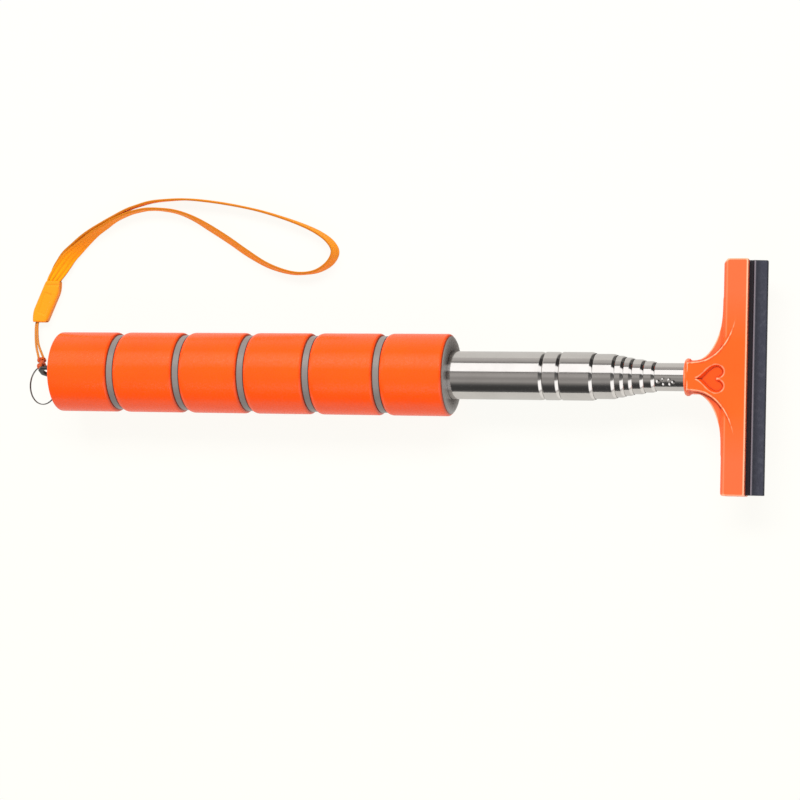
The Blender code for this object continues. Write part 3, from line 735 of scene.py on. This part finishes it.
# A difference of two lengths times this is the distance to a 45 degree face
BEVEL = 0.7071
LUG_ROLL = math.radians(25)
LUG_HALF = (5.0, 0.5, 2.6)
LUG_CORNER = 1.3
SLOT_CENTRE = (4.1, 0, 0)
SLOT_HALF = (2.7, 1.6, 9.0)
CAP_REAR, CAP_FRONT = 8.72, 10.7
SPIGOT_REAR = 10.0
SPIGOT_RADIUS = 6.65


def tail_plug():
    """Turned cap with its slotted lug, edges broken as by tumbling."""
    low, high = box_mm("tail_plug")
    radius = high[1]

    def distance(x, y, z):
        across = np.sqrt(y * y + z * z)
        cap = np.maximum(np.maximum(CAP_REAR - x, x - CAP_FRONT), across - radius)
        cap = np.maximum(cap, (across - radius + CAP_REAR - x + 0.5) * BEVEL)
        spigot = np.maximum(np.maximum(SPIGOT_REAR - x, x - high[0]), across - SPIGOT_RADIUS)
        side = math.cos(LUG_ROLL) * y - math.sin(LUG_ROLL) * z
        rise = math.sin(LUG_ROLL) * y + math.cos(LUG_ROLL) * z
        lug = rounded_box(x, side, rise, (LUG_HALF[0], 0, 0), LUG_HALF, 0.18)
        lug = soft_cut(lug, (LUG_CORNER + x - np.abs(rise)) * BEVEL, 0.15)
        lug = soft_cut(lug, rounded_box(x, rise, 0 * side, SLOT_CENTRE, SLOT_HALF, 1.5), 0.3)
        return soft_union(np.minimum(cap, spigot), lug, 0.5)

    points, faces = surface_net(distance, low, high, 0.16)
    # Painted shade over the lug, up to the cap's rear face.
    shaded = np.clip((CAP_REAR - 0.12 - points[:, 0]) / 0.4, 0, 1) * 0.92
    made("steel_tail_plug", points, faces, STEEL, "handle", "tail_plug", {"painted_shade": shaded}, 50.0)


# ---- Head and blade ----

BAR_REAR, BAR_FRONT = 210.7, 217.6
BAR_HALF_LENGTH = 33.5
BAR_HALF_HEIGHT = 4.2
NECK = 202.8
COLLAR_REAR = 199.9
# (x, radius) of the moulded collar round the end of the last tube
COLLAR = (
    (199.0, 4.9), (199.9, 4.95), (200.1, 5.2), (200.4, 5.38), (200.9, 5.38), (201.2, 5.2),
    (201.5, 4.85), (202.8, 4.8), (205.8, 4.5), (207.0, 4.4),
)
WEB_HALF_HEIGHT = 2.8
# The raised fan: its height over the axis where it starts, how that sinks, and the lip along its edge
FAN_BASE, FAN_RISE, FAN_SLOPE = 4.15, 1.15, 1.1
FAN_START, FAN_LENGTH = 201.9, 13.9
FAN_FRONT = 216.9
FAN_HALF_SPAN, FAN_FADE = 17.6, 7
LIP_HEIGHT, LIP_INSET, LIP_WIDTH = 0.24, 0.45, 0.24
HEART_TIP, HEART_LENGTH, HEART_HALF_WIDTH = 203.3, 8.3, 4.1
HEART_SHIFT = -0.6
HEART_FLOOR, HEART_TOP = 3.7, 4.9
SOCKET_RADIUS, SOCKET_END = 4.15, 203.6
NOSE_BORE_RADIUS, NOSE_BORE_END = 2.45, 209.5
# The channel for the blade's foot, and its narrower mouth
FOOT_REAR, FOOT_FRONT, FOOT_HALF_HEIGHT = 213.9, 216.2, 2.5
MOUTH_REAR, MOUTH_HALF_HEIGHT = 215.5, 1.5
HEAD_HALF_HEIGHT = 5.7
# Where the painted highlight runs along the bar's front top edge
HIGHLIGHT_LINE_X = 217.42


def flare(inner, outer, front):
    """Half outline of the head's flare, from the neck out to the bar."""
    turns = np.linspace(0, math.pi / 2, 24)
    return [(NECK + (front - NECK) * math.sin(t), outer - (outer - inner) * math.cos(t)) for t in turns]


def both_sides(half):
    return half + [(x, -y) for x, y in reversed(half)]


def heart():
    """The usual heart curve, pointing at the pole."""
    found = []
    for t in np.linspace(0, 2 * math.pi, 48, endpoint=False):
        along = 13 * math.cos(t) - 5 * math.cos(2 * t) - 2 * math.cos(3 * t) - math.cos(4 * t)
        x = HEART_TIP + (along + 17) / 29 * HEART_LENGTH
        found.append((x, math.sin(t) ** 3 * HEART_HALF_WIDTH + HEART_SHIFT))
    return found


def head():
    """T-shaped moulding: a bar on a flat web, with a raised fan and a heart-shaped dent on both faces."""
    web_half = [(NECK - 0.5, 4.6)] + flare(4.7, 22.0, BAR_REAR + 0.2) + [(BAR_REAR + 2, 22.0)]
    fan_half = [(200.7, 4.0)] + flare(4.3, 21.0, 214.3) + [(219.0, 26.0)]
    web_outline, fan_outline = both_sides(web_half), both_sides(fan_half)
    heart_outline = heart()
    collar_x, collar_radius = zip(*COLLAR)
    bar_centre = ((BAR_REAR + BAR_FRONT) / 2, 0, 0)
    bar_half = ((BAR_FRONT - BAR_REAR) / 2, BAR_HALF_LENGTH, BAR_HALF_HEIGHT)

    def bar_distance(x, y, z, height):
        bar = rounded_box(x, y, z, bar_centre, bar_half, 0.3)
        bar = soft_cut(bar, (x - BAR_REAR - height + BAR_HALF_HEIGHT - 0.9) * BEVEL, 0.3)
        corner = np.where(y > 0, 1.2, 0.4) - (x - BAR_REAR) - (BAR_HALF_LENGTH - np.abs(y))
        return soft_cut(bar, -corner * BEVEL, 0.3)

    def fan_distance(x, y, height):
        plan = outline_distance(x, y, fan_outline)
        fade = np.clip((FAN_HALF_SPAN - np.abs(y)) / FAN_FADE, 0, 1)
        lip = LIP_HEIGHT * np.exp(-(((plan + LIP_INSET) / LIP_WIDTH) ** 2))
        lip = lip * np.clip((np.abs(y) - 3.4) / 0.8, 0, 1)
        top = FAN_BASE + fade * (FAN_RISE - FAN_SLOPE * (x - FAN_START) / FAN_LENGTH + lip)
        fan = np.maximum(plan + np.maximum(height - top + 0.9, 0) * 0.35, (height - top) * 0.98)
        return np.maximum(fan, x - FAN_FRONT + np.maximum(height - 4.0, 0))

    def distance(x, y, z):
        height = np.abs(z)
        across = np.sqrt(y * y + z * z)
        web = np.maximum(outline_distance(x, y, web_outline), height - WEB_HALF_HEIGHT)
        barrel_ends = np.maximum(COLLAR_REAR - x, x - 206)
        barrel = np.maximum(across - np.interp(x, collar_x, collar_radius), barrel_ends)
        body = soft_union(bar_distance(x, y, z, height), web, 0.8)
        body = soft_union(body, fan_distance(x, y, height), 0.25)
        body = soft_union(body, barrel, 0.35)
        dent_plan = outline_distance(x, y, heart_outline)
        dent = np.maximum(dent_plan + np.maximum(HEART_TOP - height, 0) * 0.55, HEART_FLOOR - height)
        body = soft_cut(body, dent, 0.2)
        socket = np.maximum(across - SOCKET_RADIUS, x - SOCKET_END)
        bore = np.maximum(across - NOSE_BORE_RADIUS, x - NOSE_BORE_END)
        foot = np.maximum(np.maximum(FOOT_REAR - x, x - FOOT_FRONT), height - FOOT_HALF_HEIGHT)
        mouth = np.maximum(MOUTH_REAR - x, height - MOUTH_HALF_HEIGHT)
        return soft_cut(body, np.minimum(np.minimum(socket, bore), np.minimum(foot, mouth)), 0.12)

    low = (COLLAR_REAR, -BAR_HALF_LENGTH, -HEAD_HALF_HEIGHT)
    high = (BAR_FRONT, BAR_HALF_LENGTH, HEAD_HALF_HEIGHT)
    points, faces = surface_net(distance, low, high, 0.2)
    x, y, height = points[:, 0], points[:, 1], np.abs(points[:, 2])
    in_heart = outline_distance(x, y, heart_outline) < 0.1
    # Painted shade on the walls of the heart-shaped dent.
    painted_shade = np.where(in_heart & (height < 4.7) & (height > 3.0), 1.0, 0.0)
    # Painted reflection, growing towards the bar's ends; the low web behind the bar is paler as well.
    pale = np.clip((np.abs(y) - 10) / 14, 0, 1)
    pale = np.maximum(pale, np.clip((211.5 - x) / 2.0, 0, 1) * (height < 3.2))
    # Painted highlight, a thin pale line along the bar's front top edge.
    painted_highlight = np.clip(1 - np.abs(x - HIGHLIGHT_LINE_X) / 0.22, 0, 1) * (height > 3.8) * 0.45
    attributes = {"painted_shade": painted_shade, "pale": pale, "painted_highlight": painted_highlight}
    made("moulded_head", points, faces, HEAD_PLASTIC, "head", "head_body", attributes, 40.0)


BLADE_FOOT_HALF = 2.38
# Upper half of the blade's section in front of the foot's rear: (x, height, painted shade, painted
# highlight)
BLADE_SECTION = (
    (215.95, BLADE_FOOT_HALF, 0, 0), (216.08, 2.28, 0, 0), (216.08, 1.5, 0.6, 0), (216.2, 1.38, 0.8, 0),
    (218.7, 1.38, 0.9, 0), (218.85, 1.55, 0.9, 0), (219.0, 1.76, 0.2, 0.4), (219.2, 1.8, 0, 1.0),
    (219.4, 1.76, 0, 0.5), (219.55, 1.6, 0.4, 0), (219.7, 1.52, 0.6, 0), (221.0, 1.18, 0.1, 0),
    (222.3, 0.82, 0, 0), (222.55, 0.78, 0.5, 0), (222.7, 0.66, 1.0, 0),
)
BLADE_CENTRE = np.array([218.0, 0.0])


def blade():
    """The section drawn along the bar, a little smaller at its two cut ends, which take painted shade."""
    low, high = box_mm("rubber_blade")
    rear, half = low[0], high[1]
    foot_rear = ((rear, BLADE_FOOT_HALF - 0.08, 0, 0), (rear + 0.1, BLADE_FOOT_HALF, 0, 0))
    upper = np.array(foot_rear + BLADE_SECTION)
    whole = np.concatenate([upper, upper[::-1] * (1, -1, 1, 1)])
    section, painted_shade, painted_highlight = whole[:, :2], whole[:, 2], whole[:, 3]
    stations = [-half, -half + 0.05, -half + 0.2] + list(np.linspace(-half + 1, half - 1, 60))
    stations += [half - 0.2, half - 0.05, half]
    shrink = {0: 0.12, 1: 0.05}
    points, shades = [], []
    for i, y in enumerate(stations):
        inset = shrink.get(min(i, len(stations) - 1 - i), 0.0)
        for place, shade in zip(section, painted_shade):
            out = place - BLADE_CENTRE
            x, z = place - inset * out / max(np.linalg.norm(out), 1e-6)
            points.append((x, y, z))
            shades.append(max(shade, 0.6 if inset else 0.0))
    faces = capped_faces(len(stations), len(section))
    attributes = {"painted_shade": shades, "pale": np.tile(painted_highlight, len(stations))}
    made("slate_blade", points, faces, RUBBER, "head", "rubber_blade", attributes, 30.0)


# ---- Ring, cord, clip and strap ----

# The ring passes the lug's slot at its middle, hangs down towards the tail and stands to one side
SLOT_PLACE = np.array([4.7, 0.0, 0.0])
DROOP = math.radians(22)
SIDE = -4.1
RING_RADIUS = 5.95
RING_WIRE_RADIUS = 0.15
WRAPS = 3
WRAP_RADIUS = 0.74
WRAP_HALF_LENGTH = 0.85
TIED_CORD_RADIUS = 0.42
LOOSE_CORD_RADIUS = 0.36
KNOT = np.array([-1.3, 3.5, -3.9])
KNOT_SIZE = 0.32
KNOT_CORD_RADIUS = 0.5
CLIP_REAR = np.array([-5.0, 16.07, -10.4])
CLIP_FRONT = np.array([-1.07, 28.82, -10.4])
CLIP_AHEAD = (CLIP_FRONT - CLIP_REAR) / np.linalg.norm(CLIP_FRONT - CLIP_REAR)


def ring_plane():
    """The ring's centre, and its own directions down, sideways and through its middle."""
    down = np.array([-math.cos(DROOP), 0, -math.sin(DROOP)])
    sideways = np.array([0.0, 1.0, 0.0])
    drop = math.sqrt(RING_RADIUS**2 - SIDE**2)
    centre = SLOT_PLACE + SIDE * sideways + drop * down
    return centre, down, sideways, np.cross(down, sideways)


def split_ring():
    """Two turns of flat-wound spring wire, whose free ends stand a little apart."""
    centre, down, sideways, normal = ring_plane()
    turns = np.linspace(0, 4 * math.pi - 0.25, 260)
    apart = 0.12
    crossing = (0, 2 * math.pi - 0.5, 2 * math.pi + 0.2, 4 * math.pi)
    rise = np.interp(turns, crossing, (-apart, -apart, apart, apart))
    radius = RING_RADIUS + 0.02 * np.sin(turns)
    start = 2.2
    path = centre + radius[:, None] * turn_between(turns + start, down, sideways) + rise[:, None] * normal
    wire = np.full(len(path), RING_WIRE_RADIUS)
    wire[0] = wire[-1] = 0.08
    rope("wire_split_ring", path, wire, DARK_STEEL, "ring", "split_ring", 12)


def hitch():
    """Cord wrapped three times round the ring."""
    centre, down, sideways, normal = ring_plane()
    lean = math.radians(12)
    outward = math.cos(lean) * sideways + math.sin(lean) * down
    tangent = math.cos(lean) * down - math.sin(lean) * sideways
    turns = np.linspace(0, WRAPS * 2 * math.pi, 160)
    along = np.linspace(-WRAP_HALF_LENGTH, WRAP_HALF_LENGTH, len(turns))
    path = centre + RING_RADIUS * outward + WRAP_RADIUS * turn_between(turns, outward, normal)
    path += along[:, None] * tangent
    rope("cord_wrap", path, TIED_CORD_RADIUS, CORD_IN_PAINTED_SHADE, "ring", "cord_hitch", 12)


def knot():
    """Tight overhand knot."""
    turns = np.linspace(0, 2 * math.pi, 120, endpoint=False)
    x = np.sin(turns) + 2 * np.sin(2 * turns)
    y = np.cos(turns) - 2 * np.cos(2 * turns)
    z = -1.3 * np.sin(3 * turns)
    path = KNOT + KNOT_SIZE * np.stack([x, y, z], 1)
    rope("cord_knot_tied", path, KNOT_CORD_RADIUS, CORD_IN_PAINTED_SHADE, "knot", "cord_knot", 14, closed=True)


def lead():
    """Two strands from the wrap on the ring into the knot."""
    centre, down, sideways, _ = ring_plane()
    start = centre + RING_RADIUS * sideways + np.array([-0.9, 0.2, -0.6])
    for number, sign in ((1, -1), (2, 1)):
        middle = (start + KNOT) / 2 + (0.15 * sign, 0.1, 0.25)
        path = smooth_path([start + 0.28 * sign * down, middle, KNOT + (0.2 * sign, 0, 0)], 10)
        piece = rope(f"cord_lead_{number}", path, TIED_CORD_RADIUS, CORD_IN_PAINTED_SHADE, None, None, 12)
        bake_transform(piece)


CORD_STATIONS = (
    KNOT, (-2.2, 5.2, -4.6), (-4.2, 8.6, -6.6),
    (-5.8, 12.5, -9.2), (-6.2, 15.9, -10.35), (-4.9, 19.6, -10.4),
)


def cord():
    """Two strands from the knot into the clip, wide apart at the knot and close in the clip."""
    path = smooth_path(CORD_STATIONS, 14)
    side, up = frames_along(path)
    spread = np.interp(np.arange(len(path)), [0, 12, 30, len(path)], [0.95, 0.7, 0.42, 0.36])
    apart = spread[:, None] * turn_between(np.linspace(-0.2, 0.5, len(path)), side, up)
    first = rope("cord_strand_1", path + apart, LOOSE_CORD_RADIUS, CORD, None, "cord_loop", 14)
    second = rope("cord_strand_2", path - apart, LOOSE_CORD_RADIUS, CORD, None, None, 14)
    for piece in (first, second):
        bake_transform(piece)


CLIP_HALF = (8.4, 2.86, 1.4)
CLIP_LEAN = math.radians(5.5)
# Half distances between the clip's cut ends and cut sides
CLIP_END_CUT, CLIP_SIDE_CUT = 6.5, 4.3
PINCH_CENTRE = (-0.8, 0, 1.6)
PINCH_HALF = (3.4, 1.3, 0.34)
FOLD_PLACE = (5.1, 1.5)
FOLD_RADIUS = 0.24
POCKET_HALF = (2.2, 0.95)


def clip():
    """Crimped plastic sleeve with a fold line near its mouth and a shallow pinch on both faces."""
    left = np.array([-CLIP_AHEAD[1], CLIP_AHEAD[0], 0.0])

    def distance(x, y, z):
        height = np.abs(z)
        level = CLIP_AHEAD[1] * x + left[1] * y
        plumb = CLIP_AHEAD[0] * x + left[0] * y
        leaning_x = math.cos(CLIP_LEAN) * x - math.sin(CLIP_LEAN) * y
        leaning_y = math.sin(CLIP_LEAN) * x + math.cos(CLIP_LEAN) * y
        pinch = rounded_box(x, y, height, PINCH_CENTRE, PINCH_HALF, 0.25)
        fold = np.sqrt((level - FOLD_PLACE[0]) ** 2 + (height - FOLD_PLACE[1]) ** 2) - FOLD_RADIUS
        pocket = np.maximum(np.abs(y) - POCKET_HALF[0], height - POCKET_HALF[1])
        body = rounded_box(leaning_x, leaning_y, z, (0, 0, 0), CLIP_HALF, 0.9)
        body = soft_cut(body, CLIP_END_CUT - np.abs(level), 0.6)
        body = soft_cut(body, CLIP_SIDE_CUT - np.abs(plumb), 0.5)
        for cutter, rounding in ((pinch, 0.4), (fold, 0.25), (pocket, 0.1)):
            body = soft_cut(body, cutter, rounding)
        return body

    points, faces = surface_net(distance, (-7.8, -3.8, -1.45), (7.8, 3.8, 1.45), 0.11)
    # Painted shade on the clip's sides, round its middle height.
    painted_shade = np.clip((0.55 - np.abs(points[:, 2])) / 0.5, 0, 1) * 0.45
    middle = (CLIP_REAR + CLIP_FRONT) / 2
    placed = middle + points[:, :1] * CLIP_AHEAD + points[:, 1:2] * left + points[:, 2:] * UP
    made("moulded_clip", placed, faces, CLIP_PLASTIC, "cord", "crimp_clip", {"painted_shade": painted_shade}, 40.0)


RIBBON_WIDTH = 4.6
RIBBON_HALF_THICKNESS = 0.30
SELVEDGE_HEIGHT = 0.03
# The ribbon is narrower where it enters the clip, at both ends of its path
ENTRY_WIDTHS = (3.0, 4.0)
GATHER_LENGTH = 6.5
CREASE_DEPTH = 0.22
CREASES = 3.5
# The loop from the clip out and back to it: (x, y, z, roll in degrees)
RIBBON = (
    (-1.8, 26.4, -10.95, 0), (-1.1, 28.8, -10.95, 0), (0.2, 31.8, -10.9, 10), (1.7, 34.3, -10.8, 25),
    (3.5, 36.8, -10.5, 41), (6.0, 39.3, -10.25, 57), (8.6, 41.8, -10.0, 70), (11.7, 44.2, -9.8, 80),
    (15.7, 46.8, -9.7, 90), (19.1, 48.8, -9.7, 95), (23.4, 51.0, -9.65, 98), (27.4, 52.3, -9.6, 97),
    (30.9, 53.2, -9.6, 96), (35.3, 53.7, -9.6, 96), (43.2, 53.9, -9.6, 97), (53.7, 52.7, -9.6, 96),
    (64.2, 50.7, -9.6, 94), (72.0, 48.6, -9.6, 94), (79.7, 46.0, -9.6, 96), (85.5, 43.4, -9.6, 99),
    (89.4, 40.6, -9.6, 102), (91.1, 37.5, -9.6, 102), (89.6, 34.2, -9.6, 97), (85.9, 31.8, -9.6, 89),
    (81.4, 31.0, -9.6, 88), (76.3, 31.4, -9.6, 96), (69.8, 33.5, -9.6, 105), (63.3, 37.1, -9.65, 113),
    (56.7, 41.4, -9.65, 114), (50.0, 45.4, -9.6, 112), (44.7, 48.2, -9.6, 104), (39.4, 50.1, -9.6, 96),
    (34.1, 50.9, -9.6, 90), (30.1, 51.0, -9.6, 88), (26.8, 50.5, -9.6, 87), (23.4, 49.6, -9.55, 87),
    (19.2, 47.8, -9.5, 89), (16.1, 45.8, -9.4, 94), (12.8, 43.7, -9.35, 102), (9.7, 41.1, -9.4, 111),
    (7.0, 38.7, -9.5, 124), (4.5, 36.4, -9.55, 139), (2.6, 34.0, -9.75, 155), (0.8, 31.6, -9.85, 170),
    (-1.1, 28.8, -9.85, 180), (-1.8, 26.4, -9.85, 180),
)


def strap():
    """Woven ribbon: thin cloth with thicker selvedges, gathered into creases at the clip."""
    flat_rows = len(RIBBON) - 2 * len(ENTRY_WIDTHS)
    widths = ENTRY_WIDTHS + (RIBBON_WIDTH,) * flat_rows + ENTRY_WIDTHS[::-1]
    path = smooth_path(np.column_stack([RIBBON, widths]), 14)
    centre, roll, width = path[:, :3], np.radians(path[:, 3]), path[:, 4]
    ahead = units(np.gradient(centre, axis=0))
    left = units(np.cross(UP, ahead))
    across = turn_between(roll, left, np.cross(ahead, left))
    normal = np.cross(ahead, across)
    length = lengths_along(centre)
    gather = np.exp(-np.minimum(length, length[-1] - length) / GATHER_LENGTH)
    columns = 24
    shares = np.concatenate([np.linspace(0.5, -0.5, columns), np.linspace(-0.5, 0.5, columns)])
    sign = np.concatenate([np.ones(columns), -np.ones(columns)])
    edge = np.abs(shares) * 2
    half_thick = RIBBON_HALF_THICKNESS * (1 - 0.75 * np.clip((edge - 0.93) / 0.07, 0, 1) ** 2)
    half_thick = half_thick + SELVEDGE_HEIGHT * (edge > 0.8)
    crease = np.sin(shares * 2 * math.pi * CREASES + 0.8) * CREASE_DEPTH
    points = (
        centre[:, None]
        + across[:, None] * (width[:, None] * shares)[..., None]
        + normal[:, None] * (sign * half_thick + gather[:, None] * crease)[..., None]
    )
    rows = len(centre)
    size = 2 * columns
    all_gather = np.repeat(gather, size)
    # Painted shade along the ribbon's thin edges and in the creases of the gather.
    edge_shade = np.clip((np.tile(edge, rows) - 0.955) / 0.045, 0, 1) * 0.55
    crease_shade = all_gather * np.clip(-np.tile(crease / 0.2 * sign, rows), 0, 1) ** 2
    faces = capped_faces(rows, size)
    attributes = {
        "along": np.repeat(length, size),
        "across": np.tile(shares * RIBBON_WIDTH, rows),
        "painted_shade": np.maximum(edge_shade, crease_shade),
        "gather": all_gather,
    }
    points = points.reshape(-1, 3)
    piece = made("ribbon_strap", points, faces, NYLON, None, "wrist_strap", attributes, 40.0)
    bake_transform(piece)


# ---- Studio ----

# (degrees from straight up towards +Y, brightness there) for what polished steel mirrors: across the
# tool, and for directions that lean towards the head
ACROSS_BANDS = (
    (-180, 0.70), (-97, 0.70), (-91, 0.13), (-77, 0.055), (-60, 0.055), (-51, 0.083), (-42, 0.20),
    (-32, 0.37), (-17, 0.31), (-4, 0.44), (6, 0.40), (12, 0.25), (14.5, 0.20), (16.5, 1.35), (56, 1.35),
    (59, 0.20), (64, 0.30), (70, 0.46), (90, 0.58), (180, 0.62),
)
AHEAD_BANDS = (
    (-180, 0.80), (-92, 0.80), (-82, 0.60), (-74, 1.35), (-30, 1.35), (-22, 0.25), (0, 0.12),
    (14, 0.10), (18, 1.30), (44, 1.30), (50, 0.04), (100, 0.03), (180, 0.03),
)
# How far ahead a mirrored direction leans before it sees only the bands ahead
AHEAD_LEAN = 0.16
SOFT_LIGHT = 0.44
FLOOR_HALF = 9000.0
FLOOR_LEVEL = -12.12
MIDDLE = (110, 0, 0)
CAMERA_PLACE = Vector((312.476, -40.903, 676.301))
CAMERA_AHEAD = Vector((-0.27933, 0.04741, -0.95903))
CAMERA_RIGHT = Vector((0.96012, 0.02604, -0.27836))


def banded(n, share, bands):
    """A colour ramp of (degrees, brightness), in which the middling greys are a little warm."""
    node = n.add("ValToRGB", {"Fac": share})
    elements = node.color_ramp.elements
    for degrees, level in bands[1:-1]:
        elements.new(degrees / 360 + 0.5)
    for element, (degrees, level) in zip(elements, bands):
        element.position = degrees / 360 + 0.5
        warm = 1.0 if level > 1 or level < 0.15 else 0.97
        element.color = (level, level * warm, level * warm**2, 1)
    return node.outputs[0]


def world():
    """A sky that is plain to the camera, soft to matt surfaces and banded to polished ones."""
    sky = bpy.data.worlds.new("studio")
    scene.world = sky
    n = Nodes(sky)
    n.tree.nodes.clear()
    sky.cycles.sampling_method = "NONE"
    place = n.add("TexCoord").outputs["Generated"]
    toward = n.add("SeparateXYZ", {"Vector": place}).outputs
    share = n.span(n.maths("ARCTAN2", toward["Y"], toward["Z"]), -math.pi, math.pi)
    across, ahead = banded(n, share, ACROSS_BANDS), banded(n, share, AHEAD_BANDS)
    bands = n.mix(n.span(toward["X"], 0.0, AHEAD_LEAN), across, ahead)
    mirrored = n.add("Background", {"Color": bands})
    soft = n.add("Background", {"Color": (1.0, 0.99, 0.97, 1), "Strength": SOFT_LIGHT})
    seen = n.add("Background", {"Color": srgb(255, 254, 249)})
    rays = n.add("LightPath").outputs
    lit = n.either(rays["Is Glossy Ray"], soft, mirrored)
    sky_shader = n.either(rays["Is Camera Ray"], lit, seen)
    n.add("OutputWorld", {"Surface": sky_shader.outputs[0]})


def floor_material():
    """A floor that glows evenly and takes a faint shadow; polished steel sees it darker or banded."""
    n = new_material("pale_floor")
    n.tree.nodes.remove(n.shader)
    cloudy = n.noise(n.point(), 3.0, 2.0)
    colour = n.mix(n.span(cloudy, 0.3, 0.7), srgb(255, 254, 250), srgb(255, 254, 248))
    mirrored = n.add("LightPath").outputs["Is Glossy Ray"]
    incoming = n.add("NewGeometry").outputs["Incoming"]
    back = n.add("SeparateXYZ", {"Vector": incoming}).outputs
    side_shade = n.span(back["Y"], -0.02, 0.02, 0.03, 0.85)
    shade = n.between(n.span(back["X"], 0.0, -AHEAD_LEAN), 0.63, side_shade)
    strength = n.between(mirrored, 0.93, shade)
    glow = n.add("Emission", {"Color": colour, "Strength": strength})
    matt = n.add("BsdfDiffuse", {"Color": (0.06, 0.06, 0.058, 1)})
    both = n.fill(n.add("AddShader"), glow.outputs[0], matt.outputs[0])
    n.put(both.outputs[0], n.tree.nodes["Material Output"].inputs[0])
    return n.owner


def floor():
    mesh = bpy.data.meshes.new("floor")
    signs = ((-1, -1), (1, -1), (1, 1), (-1, 1))
    corners = [(x * FLOOR_HALF * MM, y * FLOOR_HALF * MM, FLOOR_LEVEL * MM) for x, y in signs]
    mesh.from_pydata(corners, [], [(0, 1, 2, 3)])
    mesh.materials.append(floor_material())
    piece = bpy.data.objects.new("floor", mesh)
    scene.collection.objects.link(piece)


def lamp(name, place, size, watts):
    """A rectangular lamp that lights the middle of the tool and isn't mirrored in it."""
    data = bpy.data.lights.new(name, "AREA")
    data.shape = "RECTANGLE"
    data.size, data.size_y = size[0] * MM, size[1] * MM
    data.energy = watts
    light = bpy.data.objects.new(name, data)
    light.location = Vector(place) * MM
    light.rotation_euler = (Vector(MIDDLE) - Vector(place)).to_track_quat("-Z", "Y").to_euler()
    light.visible_glossy = False
    scene.collection.objects.link(light)


def camera():
    data = bpy.data.cameras.new("camera")
    data.sensor_width = 36.0
    data.lens = 108.0
    data.clip_start, data.clip_end = 0.01, 10.0
    piece = bpy.data.objects.new("camera", data)
    up = CAMERA_RIGHT.cross(CAMERA_AHEAD)
    turn = Matrix((CAMERA_RIGHT, up, -CAMERA_AHEAD)).transposed().to_4x4()
    piece.matrix_world = Matrix.Translation(CAMERA_PLACE * MM) @ turn
    scene.collection.objects.link(piece)
    scene.camera = piece


def studio():
    """A world for reflections, a pale floor, two soft lamps and a camera above the tool."""
    scene.view_settings.view_transform = "Standard"
    scene.view_settings.look = "None"
    world()
    floor()
    lamp("key", (110, 420, 620), (700, 260), 7.0)
    lamp("fill", (110, -520, 520), (700, 300), 2.0)
    camera()


grip()
tubes()
sleeves()
stud()
tail_plug()
head()
blade()
split_ring()
hitch()
knot()
lead()
cord()
clip()
strap()
studio()
